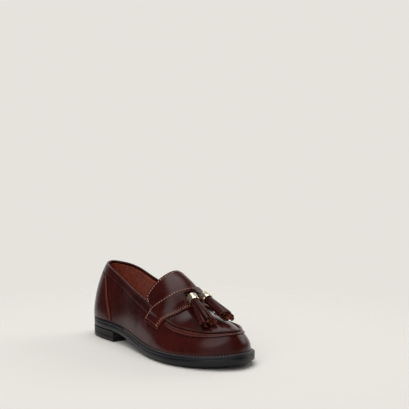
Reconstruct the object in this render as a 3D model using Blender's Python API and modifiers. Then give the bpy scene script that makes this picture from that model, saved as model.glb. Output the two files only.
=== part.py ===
"""A tassel loafer for the right foot, empty and standing on its sole.

Metres, Z up. While it is modelled, X runs from the back of the heel to the toe, Y to the inner side of
the foot and Z up from the floor. At the end one empty carries all the pieces to the middle of their box.
"""
import math

import bmesh
import bpy
import numpy as np
from mathutils import Matrix, Vector

# Driving dimensions
LENGTH = 0.262
BALL_WIDTH = 0.0938
HEEL_WIDTH = 0.0625
COLLAR_HEIGHT = 0.0845
INSTEP_HEIGHT = 0.0745
TOE_HEIGHT = 0.0436
TOE_SPRING = 0.0059
GAP = 0.0003

# Sole and heel
TOP_LIFT = 0.0045
HEEL_BLOCK = 0.0074
OUTSOLE_EDGE = 0.0062
TREAD = 0.0020
TREAD_INSET = 0.0030
WELT = 0.0030
WELT_WIDTH = 0.0090
HEEL_LENGTH = 0.0655
EDGE_CHAMFER = 0.0005

# Leather and trim
UPPER_WALL = 0.0018
TONGUE_WALL = 0.0016
STRAP_WALL = 0.0015
OVERLAY_WALL = 0.0010
BINDING_RADIUS = 0.0012
BEAD_RADIUS = 0.0011
INSOLE = 0.0025
SLOT_LENGTH = 0.0170
SLOT_WIDTH = 0.0065
SLOT_DEPTH = 0.0120
SLOT_ROUND = 0.0020
SLOT_OFFSET = -0.0030
SLOT_PLACE = 0.34
SEAM_SHARE = 0.012

# Tassels
FERRULE_LENGTH = 0.0100
FERRULE_RADIUS = 0.0057
FERRULE_WALL = 0.0007
FERRULE_EASE = 0.0008
FERRULE_REST = 0.0014
TASSEL_LENGTH = 0.0500
TASSEL_WIDTH = 0.0200
TASSEL_DEPTH = 0.0115
TASSEL_REST = 0.0012
TASSEL_STRIPS = 9
STRIP_STEP = 0.0012
FRINGE_HOLLOW = 0.0040
LACE_RADIUS = 0.0011

# Heights of the layers above the floor
HEEL_SEAT = TOP_LIFT + GAP + HEEL_BLOCK + GAP + OUTSOLE_EDGE + GAP + WELT
BALL_SEAT = TREAD + OUTSOLE_EDGE + GAP + WELT

# Half a turn around the shoe, from the back of the heel (station 0) to the tip of the toe (station 12).
# Outer and inner are shares of the heel's width where heel is 1 and of the ball's width where it is 0.
SOLE_ROWS = [
    # along, outer, inner, heel
    (0.000, 0.000, 0.000, 1),
    (0.020, 0.275, 0.275, 1),
    (0.070, 0.420, 0.420, 1),
    (0.160, 0.495, 0.495, 1),
    (0.270, 0.500, 0.463, 1),
    (0.400, 0.374, 0.288, 0),
    (0.520, 0.434, 0.333, 0),
    (0.640, 0.485, 0.440, 0),
    (0.740, 0.485, 0.500, 0),
    (0.840, 0.410, 0.490, 0),
    (0.930, 0.255, 0.385, 0),
    (0.980, 0.095, 0.235, 0),
    (1.000, -0.060, 0.060, 0),
]

# The upper's profile at each station: how far its foot stands in from the sole's edge (of the welt's
# width), where it ends on the ridge (of the length), and how its curve is pulled at the foot (of the
# rise), leans out there (of that pull) and is pulled at the ridge (of the way in).
PROFILE_ROWS = [
    # inset, ridge, low_pull, lean, top_pull
    (0.10, 0.100, 0.36, 0.025, 0.60),
    (0.10, 0.115, 0.36, 0.025, 0.57),
    (0.12, 0.147, 0.36, 0.030, 0.54),
    (0.16, 0.207, 0.34, 0.015, 0.51),
    (0.20, 0.290, 0.32, -0.020, 0.56),
    (0.24, 0.420, 0.30, 0.050, 0.74),
    (0.33, 0.545, 0.30, 0.045, 0.78),
    (0.40, 0.655, 0.34, 0.050, 0.66),
    (0.42, 0.750, 0.38, 0.060, 0.48),
    (0.42, 0.830, 0.42, 0.050, 0.50),
    (0.44, 0.890, 0.46, 0.040, 0.54),
    (0.50, 0.918, 0.49, 0.030, 0.62),
    (0.53, 0.926, 0.50, 0.030, 0.66),
]

# The ridge of the last, over the foot's opening too: shares of the collar's, instep's and toe's heights,
# and how far it stands towards the inner side (of the ball's width)
RIDGE_ROWS = [
    # along, collar, instep, toe, side
    (0.085, 1.110, 0.000, 0.000, 0.000),
    (0.200, 1.180, 0.000, 0.000, 0.000),
    (0.330, 1.210, 0.000, 0.000, 0.000),
    (0.440, 1.150, 0.000, 0.000, 0.018),
    (0.550, 0.000, 1.168, 0.000, 0.042),
    (0.640, 0.000, 0.970, 0.000, 0.040),
    (0.700, 0.000, 0.760, 0.000, 0.036),
    (0.770, 0.000, 0.680, 0.000, 0.034),
    (0.850, 0.000, 0.000, 1.080, 0.034),
    (0.905, 0.000, 0.000, 1.000, 0.036),
    (0.940, 0.000, 0.000, 0.936, 0.038),
]

# The top of the sole: how far up from the ball's seat to the heel's, and how much of the toe's spring
SEAT_ROWS = [
    # along, arch, spring
    (0.00, 0.95, 0.00),
    (0.20, 1.00, 0.00),
    (0.30, 0.90, 0.00),
    (0.40, 0.56, 0.00),
    (0.50, 0.20, 0.00),
    (0.60, 0.00, 0.00),
    (0.72, 0.00, 0.00),
    (0.80, 0.00, 0.10),
    (0.90, 0.00, 0.40),
    (1.00, 0.00, 1.00),
]

# How deep the tread stands below the outsole's edge (of TREAD)
TREAD_ROWS = [
    # along, depth
    (0.00, 0.25),
    (0.45, 0.25),
    (0.58, 1.00),
    (1.00, 1.00),
]

# The edge of the foot's opening (of COLLAR_HEIGHT), back to front
TOPLINE_ROWS = [
    # along, height
    (0.020, 0.996),
    (0.070, 0.962),
    (0.125, 0.938),
    (0.205, 0.882),
    (0.285, 0.815),
    (0.370, 0.757),
    (0.450, 0.702),
    (0.510, 0.660),
    (0.560, 0.600),
]

# Lines on the upper, as shares of its profile at a station
COLLAR_BAND_ROWS = [
    # station, share
    (0.0, 0.590),
    (1.0, 0.580),
    (2.3, 0.535),
    (3.0, 0.503),
    (4.0, 0.427),
    (4.9, 0.393),
    (5.7, 0.388),
    (6.2, 0.380),
]
SEAM_ROWS = [
    # station, share
    (7.25, 0.467),
    (7.60, 0.485),
    (8.30, 0.494),
    (9.10, 0.508),
    (9.75, 0.540),
    (10.3, 0.598),
    (11.0, 0.668),
    (12.0, 0.713),
]
APRON_EDGE_ROWS = [
    # station, share
    (7.25, 0.420),
    (7.90, 0.417),
    (8.50, 0.406),
    (9.05, 0.412),
    (9.60, 0.447),
    (10.2, 0.497),
    (10.9, 0.573),
    (12.0, 0.640),
]

# Pieces over the instep: the stations of their rear and front edges at a share of the profile
STRAP_ROWS = [
    # share, rear, front
    (0.300, 6.12, 6.99),
    (0.380, 6.25, 7.06),
    (0.480, 6.46, 7.17),
    (0.640, 6.72, 7.40),
    (0.810, 6.81, 7.48),
    (0.910, 6.84, 7.50),
    (1.000, 6.83, 7.48),
]
TONGUE_ROWS = [
    # share, rear, front
    (0.480, 6.16, 6.66),
    (0.500, 5.97, 6.71),
    (0.535, 5.87, 6.78),
    (0.620, 5.90, 6.92),
    (0.765, 5.98, 7.02),
    (0.870, 5.99, 7.05),
    (1.000, 5.94, 7.05),
]
COUNTER_ROWS = [
    # share of its height, station of its front edge
    (0.00, 3.60),
    (0.28, 3.42),
    (0.55, 3.15),
    (0.78, 2.86),
    (1.00, 2.40),
]

# Tassels: where each ferrule's middle and each fringe's end lie over the upper
TASSEL_ROWS = [
    # name, head_station, head_share, end_station, end_share
    ("outer", 7.40, 0.915, 9.48, 0.712),
    ("inner", 16.61, 0.893, 14.04, 0.925),
]
FRINGE_ROWS = [
    # along the tassel, share of the spread from the ferrule's bore to the end's width and depth, groove
    (0.00, 0.00, 0.00),
    (0.16, 0.00, 0.04),
    (0.30, 0.16, 0.12),
    (0.55, 0.48, 0.20),
    (0.80, 0.84, 0.26),
    (1.00, 1.00, 0.30),
]

SIDE_STATIONS = len(SOLE_ROWS) - 1
LOOP = 2 * SIDE_STATIONS
COLUMNS_A_STATION = 3
UPPER_ROWS = 11

# Under the strap the opening's edge turns from the side up to the ridge, between two columns of points
SIDE_STATION = 6 + 1 / COLUMNS_A_STATION
THROAT_STATION = 7.0
BAND_END = 6.1


# Colours and materials

def linear(red, green, blue):
    """A colour read from the photograph (0 to 255) as linear values."""
    channels = [value / 255 for value in (red, green, blue)]
    return [c / 12.92 if c <= 0.04045 else ((c + 0.055) / 1.055) ** 2.4 for c in channels] + [1.0]


def material(name, colour, roughness, metallic=0.0, coat=0.0):
    made = bpy.data.materials.new(name)
    made.use_nodes = True
    shader = made.node_tree.nodes["Principled BSDF"]
    shader.inputs["Base Color"].default_value = colour
    shader.inputs["Roughness"].default_value = roughness
    shader.inputs["Metallic"].default_value = metallic
    shader.inputs["Coat Weight"].default_value = coat
    made.diffuse_color = colour
    return made


# Curves through rows of numbers

def spline(rows, x):
    """Natural cubic spline through rows of (place, value)."""
    places, values = np.array([(row[0], row[1]) for row in rows]).T
    count = len(places)
    steps = np.diff(places)
    slopes = np.diff(values) / steps
    system = np.eye(count)
    right = np.zeros(count)
    for i in range(1, count - 1):
        system[i, i - 1:i + 2] = steps[i - 1], 2 * (steps[i - 1] + steps[i]), steps[i]
        right[i] = 6 * (slopes[i] - slopes[i - 1])
    bend = np.linalg.solve(system, right)
    x = np.clip(np.asarray(x, float), places[0], places[-1])
    i = np.clip(np.searchsorted(places, x, side="right") - 1, 0, count - 2)
    t = x - places[i]
    first = slopes[i] - steps[i] * (2 * bend[i] + bend[i + 1]) / 6
    return values[i] + first * t + bend[i] * t**2 / 2 + (bend[i + 1] - bend[i]) * t**3 / (6 * steps[i])


def steady(rows, x):
    """Cubic curve through rows of (place, value) that never overshoots them."""
    places, values = np.array([(row[0], row[1]) for row in rows]).T
    steps = np.diff(places)
    slopes = np.diff(values) / steps
    tangent = np.zeros(len(values))
    for i in range(1, len(places) - 1):
        if slopes[i - 1] * slopes[i] > 0:
            before = 2 * steps[i] + steps[i - 1]
            after = steps[i] + 2 * steps[i - 1]
            tangent[i] = (before + after) / (before / slopes[i - 1] + after / slopes[i])
    tangent[0], tangent[-1] = slopes[0], slopes[-1]
    x = np.clip(np.asarray(x, float), places[0], places[-1])
    i = np.clip(np.searchsorted(places, x, side="right") - 1, 0, len(steps) - 1)
    t = (x - places[i]) / steps[i]
    start = (2 * t**3 - 3 * t**2 + 1) * values[i] + (t**3 - 2 * t**2 + t) * steps[i] * tangent[i]
    end = (3 * t**2 - 2 * t**3) * values[i + 1] + (t**3 - t**2) * steps[i] * tangent[i + 1]
    return start + end


def loop_spline(values, steps):
    """Closed cubic spline through the values; its stations are whole numbers."""
    values = np.asarray(values, float)
    count = len(values)
    system = np.zeros((count, count))
    right = np.zeros_like(values)
    for i in range(count):
        before, after, following = steps[i - 1], steps[i], (i + 1) % count
        system[i, i - 1] += after
        system[i, i] += 2 * (before + after)
        system[i, following] += before
        rise = after * (values[i] - values[i - 1]) / before + before * (values[following] - values[i]) / after
        right[i] = 3 * rise
    tangent = np.linalg.solve(system, right)

    def at(station):
        station = np.asarray(station, float) % count
        i = np.minimum(station.astype(int), count - 1)
        j = (i + 1) % count
        t = (station - i)[..., None]
        step = steps[i][..., None]
        start = (2 * t**3 - 3 * t**2 + 1) * values[i] + (t**3 - 2 * t**2 + t) * step * tangent[i]
        end = (3 * t**2 - 2 * t**3) * values[j] + (t**3 - t**2) * step * tangent[j]
        return start + end

    return at


def mirrored(rows):
    """Rows of half a turn, heel to toe, carried back to the heel along the inner side."""
    rows = [list(row) for row in rows]
    return rows + rows[-2:0:-1]


# The last: plan, seat, ridge and surface

def plan_points():
    outer, inner = [], []
    for along, outer_share, inner_share, heel in SOLE_ROWS:
        width = HEEL_WIDTH if heel else BALL_WIDTH
        outer.append((along * LENGTH, -outer_share * width))
        inner.append((along * LENGTH, inner_share * width))
    return np.array(outer[:-1] + [inner[-1]] + inner[-2:0:-1])


PLAN = plan_points()
CHORDS = np.linalg.norm(np.roll(PLAN, -1, 0) - PLAN, axis=1)
STEPS = (CHORDS + CHORDS[::-1]) / 2
sole_edge = loop_spline(PLAN, STEPS)
profile = loop_spline(mirrored(PROFILE_ROWS), STEPS)


def inset_plan(station, inset):
    """A point of the sole's plan, moved in from its edge."""
    step = 0.01
    along = sole_edge(station + step) - sole_edge(station - step)
    out = np.stack([along[..., 1], -along[..., 0]], -1)
    out /= np.linalg.norm(out, axis=-1, keepdims=True)
    return sole_edge(station) - out * np.asarray(inset)[..., None], out


def seat_height(x):
    """The top of the sole above the floor."""
    share = np.asarray(x) / LENGTH
    arch = steady([(row[0], row[1]) for row in SEAT_ROWS], share)
    spring = steady([(row[0], row[2]) for row in SEAT_ROWS], share)
    return BALL_SEAT + arch * (HEEL_SEAT - BALL_SEAT) + spring * TOE_SPRING


def ridge_height(x):
    heights = (COLLAR_HEIGHT, INSTEP_HEIGHT, TOE_HEIGHT)
    rows = [(row[0], sum(share * height for share, height in zip(row[1:4], heights))) for row in RIDGE_ROWS]
    return spline(rows, np.asarray(x) / LENGTH)


def ridge_side(x):
    return BALL_WIDTH * steady([(row[0], row[4]) for row in RIDGE_ROWS], np.asarray(x) / LENGTH)


def last(station, share):
    """A point on the upper's outside: around the shoe by station, from its foot (0) to the ridge (1)."""
    station, share = np.broadcast_arrays(np.asarray(station, float), np.asarray(share, float))
    inset, ridge, low_pull, lean, top_pull = np.moveaxis(profile(station), -1, 0)
    foot_plan, out = inset_plan(station, inset * WELT_WIDTH)
    foot_height = seat_height(foot_plan[..., 0]) + GAP
    ridge_x = ridge * LENGTH
    top_height = ridge_height(ridge_x)
    step = 1e-4
    slope = (ridge_height(ridge_x + step) - ridge_height(ridge_x - step)) / (2 * step)
    rise = top_height - foot_height
    top_plan = np.stack([ridge_x, ridge_side(ridge_x)], -1)
    away = (foot_plan - top_plan) * top_pull[..., None]
    low_plan = foot_plan + out * (low_pull * lean * rise)[..., None]

    def point(plan, height):
        return np.concatenate([plan, height[..., None]], -1)

    foot = point(foot_plan, foot_height)
    low = point(low_plan, foot_height + low_pull * rise)
    high = point(top_plan + away, top_height + slope * away[..., 0])
    top = point(top_plan, top_height)
    t = share[..., None]
    return (1 - t)**3 * foot + 3 * (1 - t)**2 * t * low + 3 * (1 - t) * t**2 * high + t**3 * top


def last_normal(station, share):
    step = 0.01
    share = np.minimum(share, 1 - step)
    around = last(station + step, share) - last(station - step, share)
    up = last(station, share + step / 2) - last(station, share - step / 2)
    normal = np.cross(around, up)
    return normal / np.linalg.norm(normal, axis=-1, keepdims=True)


def raised(station, share, height):
    """A point at a height above the upper's outside."""
    return last(station, share) + last_normal(station, share) * np.asarray(height)[..., None]


def up_profile(station, share):
    """The direction up the profile, towards the ridge."""
    step = 0.01
    ahead = last(station, share + step) - last(station, share)
    return ahead / np.linalg.norm(ahead, axis=-1, keepdims=True)


def topline_share(station):
    """Where the profile meets the opening's edge, found by halving; past the side it climbs to the ridge."""
    station = np.asarray(station, float)
    side = np.minimum(station, LOOP - station)
    edge = np.where(station < SIDE_STATIONS, SIDE_STATION, LOOP - SIDE_STATION)
    near = np.where(side > SIDE_STATION, edge, station)
    low, high = np.zeros_like(station), np.ones_like(station)
    for _ in range(40):
        middle = (low + high) / 2
        point = last(near, middle)
        under = point[..., 2] < COLLAR_HEIGHT * spline(TOPLINE_ROWS, point[..., 0] / LENGTH)
        low, high = np.where(under, middle, low), np.where(under, high, middle)
    climb = np.clip((side - SIDE_STATION) / (THROAT_STATION - SIDE_STATION), 0, 1)
    return low + (1 - low) * climb


# Meshes

parts = bpy.data.collections.new("tassel_loafer")
cutters = bpy.data.collections.new("cutters")


def add_object(name, mesh, surface, collection=None):
    made = bpy.data.objects.new(name, mesh)
    (collection or parts).objects.link(made)
    if surface:
        mesh.materials.append(surface)
    return made


def grid_mesh(name, grid, close_around=False):
    """A sheet of quads through a grid of points: rows go up, columns go around."""
    rows, columns = grid.shape[:2]
    faces = []
    for row in range(rows - 1):
        for column in range(columns if close_around else columns - 1):
            following = (column + 1) % columns
            faces.append((row * columns + column, row * columns + following,
                          (row + 1) * columns + following, (row + 1) * columns + column))
    mesh = bpy.data.meshes.new(name)
    mesh.from_pydata(grid.reshape(-1, 3).tolist(), [], faces)
    return mesh


def weld(mesh, distance=1e-6):
    """Joins points that fall together and turns the faces of a closed mesh outwards."""
    shell = bmesh.new()
    shell.from_mesh(mesh)
    bmesh.ops.remove_doubles(shell, verts=shell.verts, dist=distance)
    shell.to_mesh(mesh)
    shell.free()


def thicken(made, thickness, inward=False):
    solidify = made.modifiers.new("wall", "SOLIDIFY")
    solidify.thickness = thickness
    solidify.offset = -1 if inward else 1
    solidify.use_even_offset = True
    return made


def ring_solid(name, rings, surface, capped=True):
    """A closed solid through rings around the shoe, bottom to top, with ladders across its two ends."""
    grid = np.array(rings)
    if not capped:
        grid = np.concatenate([grid, grid[:1]])
    mesh = grid_mesh(name, grid, close_around=True)
    shell = bmesh.new()
    shell.from_mesh(mesh)
    shell.verts.ensure_lookup_table()
    columns = grid.shape[1]
    if capped:
        for start in (0, (len(grid) - 1) * columns):
            ladder(shell, [shell.verts[start + i] for i in range(columns)])
    bmesh.ops.remove_doubles(shell, verts=shell.verts, dist=1e-7)
    bmesh.ops.recalc_face_normals(shell, faces=shell.faces)
    shell.to_mesh(mesh)
    shell.free()
    return add_object(name, mesh, surface)


def ladder(shell, ring):
    """Faces across a ring that is mirrored about its first point: pairs of points are the rungs."""
    count = len(ring)
    left, right = 1, count - 1
    shell.faces.new((ring[0], ring[1], ring[count - 1]))
    while right - left > 2:
        shell.faces.new((ring[left], ring[left + 1], ring[right - 1], ring[right]))
        left, right = left + 1, right - 1
    if right - left == 2:
        shell.faces.new((ring[left], ring[left + 1], ring[right]))


def tube(name, points, radius, surface, resolution=2):
    """A cord or bead along a curve, with filled ends."""
    curve = bpy.data.curves.new(name, "CURVE")
    curve.dimensions = "3D"
    curve.bevel_depth = radius
    curve.bevel_resolution = resolution
    curve.use_fill_caps = True
    line = curve.splines.new("POLY")
    line.points.add(len(points) - 1)
    for knot, point in zip(line.points, points):
        knot.co = (*point, 1)
    made = bpy.data.objects.new(name, curve)
    parts.objects.link(made)
    curve.materials.append(surface)
    return made


# Sole and heel

def around(count=LOOP * COLUMNS_A_STATION):
    return np.arange(count) * LOOP / count


def sole_ring(stations, inset, height, level=None):
    """A ring in from the sole's edge, at a height against the seat, or level above the floor."""
    plan, _ = inset_plan(stations, np.full(len(stations), inset))
    if level is None:
        z = seat_height(plan[:, 0]) + height
    else:
        z = np.full(len(stations), level)
    return np.column_stack([plan, z])


def tread_ring(stations, inset, clearance=0.0):
    ring = sole_ring(stations, inset, -(WELT + GAP + OUTSOLE_EDGE))
    ring[:, 2] -= TREAD * steady(TREAD_ROWS, ring[:, 0] / LENGTH) + clearance
    return ring


def make_outsole(rubber):
    """Edge, stepped tread below it and a raised middle that fills the welt's ring."""
    stations = around()
    ledge = -(WELT + GAP)
    foot = ledge - OUTSOLE_EDGE
    rings = [
        tread_ring(stations, TREAD_INSET + EDGE_CHAMFER),
        sole_ring(stations, TREAD_INSET, foot),
        sole_ring(stations, EDGE_CHAMFER, foot),
        sole_ring(stations, 0, foot + EDGE_CHAMFER),
        sole_ring(stations, 0, ledge - EDGE_CHAMFER),
        sole_ring(stations, EDGE_CHAMFER, ledge),
        sole_ring(stations, WELT_WIDTH, ledge),
        sole_ring(stations, WELT_WIDTH + GAP, 0),
    ]
    ring_solid("outsole", rings, rubber)


def make_welt(rubber):
    """The strip that the upper is stitched to, all around the shoe."""
    stations = around()
    rings = [
        sole_ring(stations, WELT_WIDTH - EDGE_CHAMFER, -WELT),
        sole_ring(stations, EDGE_CHAMFER, -WELT),
        sole_ring(stations, 0, -WELT + EDGE_CHAMFER),
        sole_ring(stations, 0, -EDGE_CHAMFER),
        sole_ring(stations, EDGE_CHAMFER, 0),
        sole_ring(stations, WELT_WIDTH - EDGE_CHAMFER, 0),
    ]
    ring_solid("welt", rings, rubber, capped=False)


def heel_stations():
    """Stations around the back, from the breast's outer corner to its inner one, the heel's back first."""
    low, high = 0.0, float(SIDE_STATIONS)
    for _ in range(40):
        middle = (low + high) / 2
        if sole_edge(np.array(middle))[0] < HEEL_LENGTH:
            low = middle
        else:
            high = middle
    side = np.linspace(0, low, 14)
    return np.concatenate([side, LOOP - side[:0:-1]])


def make_heel(rubber):
    """A block under the heel's seat, cut straight at its breast, and the lift that meets the floor."""
    stations = heel_stations()
    under = tread_ring(stations, EDGE_CHAMFER, GAP)
    shoulder = tread_ring(stations, 0, GAP + EDGE_CHAMFER)
    base = TOP_LIFT + GAP
    block = [
        sole_ring(stations, EDGE_CHAMFER, 0, level=base),
        sole_ring(stations, 0, 0, level=base + EDGE_CHAMFER),
        shoulder,
        under,
    ]
    ring_solid("heel_block", block, rubber)
    lift = [
        sole_ring(stations, EDGE_CHAMFER, 0, level=0),
        sole_ring(stations, 0, 0, level=EDGE_CHAMFER),
        sole_ring(stations, 0, 0, level=TOP_LIFT - EDGE_CHAMFER),
        sole_ring(stations, EDGE_CHAMFER, 0, level=TOP_LIFT),
    ]
    ring_solid("top_lift", lift, rubber)


# Upper

def make_upper(leather):
    """One hollow wall around the foot, open at the collar and underneath, closed along the vamp's ridge."""
    stations = around()
    tops = topline_share(stations)
    shares = np.linspace(0, 1, UPPER_ROWS)[:, None] * tops
    mesh = grid_mesh("upper", last(np.broadcast_to(stations, shares.shape), shares), close_around=True)
    weld(mesh)
    thicken(add_object("upper", mesh, leather), UPPER_WALL, inward=True)


def make_insole(lining):
    """The sock that lies on the sole inside the upper."""
    stations = around()
    foot = profile(stations)[:, 0] * WELT_WIDTH
    wall = UPPER_WALL + 2 * GAP
    plan, _ = inset_plan(stations, foot + wall)
    rim_plan, _ = inset_plan(stations, foot + wall + EDGE_CHAMFER)
    base = seat_height(plan[:, 0]) + GAP
    rings = [
        np.column_stack([plan, base]),
        np.column_stack([plan, base + INSOLE - EDGE_CHAMFER]),
        np.column_stack([rim_plan, base + INSOLE]),
    ]
    ring_solid("insole", rings, lining)


def band_grid(rows, along, across, closer=1.0):
    """Stations and shares of a piece over the instep, end to end; closer above 1 crowds its ends' points."""
    start = rows[0][0]
    shares = start + (1 - start) * np.linspace(0, 1, along)**closer
    rear = spline([(row[0], row[1]) for row in rows], shares)
    front = spline([(row[0], row[2]) for row in rows], shares)
    cross = np.linspace(0, 1, across)[:, None]
    stations = rear + cross * (front - rear)
    shares = np.broadcast_to(shares, stations.shape)
    stations = np.concatenate([stations, LOOP - stations[:, -2::-1]], 1)
    shares = np.concatenate([shares, shares[:, -2::-1]], 1)
    return stations, shares, np.broadcast_to(cross, stations.shape)


def make_tongue(leather):
    """The tab that stands up from under the strap, just outside the upper's edge."""
    stations, shares, _ = band_grid(TONGUE_ROWS, 14, 6, closer=1.35)
    grid = raised(stations, shares, np.full(stations.shape, GAP))
    mesh = grid_mesh("tongue", grid[::-1])
    thicken(add_object("tongue", mesh, leather), TONGUE_WALL)


def strap_height(shares, cross):
    """The strap lies on the vamp at its ends and along its front, and on the tongue between them."""
    step_start, step_run, front_start = TONGUE_ROWS[0][0] - 0.09, 0.07, 0.55
    rise = np.clip((shares - step_start) / step_run, 0, 1)
    fall = np.clip((cross - front_start) / (1 - front_start), 0, 1)
    ease = rise**2 * (3 - 2 * rise) * (1 - fall**2 * (3 - 2 * fall))
    return 2 * GAP + (TONGUE_WALL + GAP) * ease


def make_strap(leather):
    """The saddle strap across the instep."""
    stations, shares, cross = band_grid(STRAP_ROWS, 14, 6)
    grid = raised(stations, shares, strap_height(shares, cross))
    mesh = grid_mesh("saddle_strap", grid[::-1])
    cut_slot(thicken(add_object("saddle_strap", mesh, leather), STRAP_WALL))


def cut_slot(strap):
    """Cuts the slot that the tassels' lace comes out of, square to the strap."""
    station, share = strap_slot()
    place = Vector(last(station, share)) + Vector((0, SLOT_OFFSET, 0))
    turn = frame_along(Vector(last_normal(station, share)))
    shell = bmesh.new()
    bmesh.ops.create_cube(shell, size=1)
    bmesh.ops.scale(shell, vec=(SLOT_WIDTH, SLOT_LENGTH, SLOT_DEPTH), verts=shell.verts)
    corners = [e for e in shell.edges if abs(e.verts[0].co.z - e.verts[1].co.z) > SLOT_DEPTH / 2]
    bmesh.ops.bevel(shell, geom=corners, offset=SLOT_ROUND, segments=3, affect="EDGES")
    mesh = bpy.data.meshes.new("strap_slot")
    shell.to_mesh(mesh)
    shell.free()
    cutter = add_object("strap_slot", mesh, None, cutters)
    cutter.matrix_world = Matrix.Translation(place) @ turn.to_4x4()
    cutter.hide_render = True
    cutter.display_type = "WIRE"
    cut = strap.modifiers.new("slot", "BOOLEAN")
    cut.operation = "DIFFERENCE"
    cut.object = cutter


def strap_slot():
    """Station and share of the slot's middle, on the ridge."""
    rear, front = STRAP_ROWS[-1][1:]
    return rear + SLOT_PLACE * (front - rear), 0.999


def frame_along(out):
    """A turn whose Z axis points out and whose Y axis runs across the shoe."""
    across = Vector((0, 1, 0))
    forward = across.cross(out).normalized()
    across = out.cross(forward).normalized()
    return Matrix((forward, across, out)).transposed()


def make_counter(leather):
    """The stiff piece around the heel, below the collar band."""
    height = np.linspace(0, 1, 7)[:, None]
    front = spline(COUNTER_ROWS, height)
    stations = np.linspace(-1, 1, 29) * front
    side = np.abs(stations)
    top = spline(COLLAR_BAND_ROWS, side) - SEAM_SHARE
    shares = SEAM_SHARE + height * (top - SEAM_SHARE)
    grid = raised(stations, shares, np.full(stations.shape, GAP))
    mesh = grid_mesh("heel_counter", grid)
    thicken(add_object("heel_counter", mesh, leather), OVERLAY_WALL)


def collar_stations():
    """The upper's own columns, from the strap's outer edge around the heel to its inner edge."""
    reach = int(BAND_END) * COLUMNS_A_STATION
    columns = np.arange(-reach, reach + 1) / COLUMNS_A_STATION
    return np.concatenate([[-BAND_END], columns, [BAND_END]])


def make_collar_band(leather):
    """The band along the opening, from the strap around the heel and back."""
    stations = collar_stations()
    side = np.abs(stations)
    low = spline(COLLAR_BAND_ROWS, side)
    top = topline_share(side) - SEAM_SHARE
    shares = low + np.linspace(0, 1, 3)[:, None] * (top - low)
    stations = np.broadcast_to(stations, shares.shape)
    grid = raised(stations, shares, np.full(shares.shape, GAP))
    mesh = grid_mesh("collar_band", grid)
    thicken(add_object("collar_band", mesh, leather), OVERLAY_WALL)


def make_binding(leather):
    """The rolled binding that stands on the opening's edge."""
    stations = collar_stations()
    side = np.abs(stations)
    share = topline_share(side)
    edge = raised(stations, share, np.full(share.shape, -UPPER_WALL / 2))
    stand = BINDING_RADIUS + 3 * GAP
    tube("topline_binding", edge + up_profile(stations, share) * stand, BINDING_RADIUS, leather)


def apron_stations(count):
    """Stations from the strap's front edge on the outer side, around the toe, to the inner side."""
    start = SEAM_ROWS[0][0]
    return np.linspace(start, LOOP - start, count)


def make_apron(leather):
    """The stitched band around the vamp's apron and the raised bead along its inner edge."""
    stations = apron_stations(37)
    side = np.minimum(stations, LOOP - stations)
    low = spline(APRON_EDGE_ROWS, side)
    top = spline(SEAM_ROWS, side)
    shares = low + np.linspace(0, 1, 3)[:, None] * (top - low)
    across = np.broadcast_to(stations, shares.shape)
    grid = raised(across, shares, np.full(shares.shape, GAP))
    mesh = grid_mesh("apron_band", grid)
    thicken(add_object("apron_band", mesh, leather), OVERLAY_WALL)
    edge = raised(stations, top, np.full(top.shape, BEAD_RADIUS + GAP))
    stand = BEAD_RADIUS + 2 * GAP
    tube("apron_seam", edge + up_profile(stations, top) * stand, BEAD_RADIUS, leather)


# Tassels

def tassel_frame(head_station, head_share, end_station, end_share):
    """The ferrule's middle, and a turn whose Z axis runs down the tassel and whose X axis points up."""
    head = Vector(raised(head_station, head_share, FERRULE_RADIUS + TONGUE_WALL + STRAP_WALL + FERRULE_REST))
    end = Vector(raised(end_station, end_share, TASSEL_DEPTH / 2 + TASSEL_REST))
    down = (end - head).normalized()
    up = Vector(last_normal(head_station, head_share))
    side = down.cross(up).normalized()
    up = side.cross(down).normalized()
    return head, Matrix((up, side, down)).transposed()


def make_ferrule(name, head, turn, gold):
    """A pale gold sleeve with eased edges, closed at its top around the lace."""
    outer, half, ease = FERRULE_RADIUS, FERRULE_LENGTH / 2, FERRULE_EASE
    bore = outer - FERRULE_WALL
    hole = LACE_RADIUS + GAP
    points = [
        (hole, -half),
        (outer - ease, -half),
        (outer, -half + ease),
        (outer, half),
        (bore, half),
        (bore, -half + FERRULE_WALL + ease),
        (bore - ease, -half + FERRULE_WALL),
        (hole, -half + FERRULE_WALL),
    ]
    mesh = bpy.data.meshes.new(name)
    edges = [(i, (i + 1) % len(points)) for i in range(len(points))]
    mesh.from_pydata([(x, 0, z) for x, z in points], edges, [])
    made = add_object(name, mesh, gold)
    made.matrix_world = Matrix.Translation(head) @ turn.to_4x4()
    screw = made.modifiers.new("turn", "SCREW")
    screw.steps = 20
    screw.render_steps = 20
    screw.use_merge_vertices = True
    screw.merge_threshold = 0.00001
    screw.use_normal_calculate = True
    return made


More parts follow.
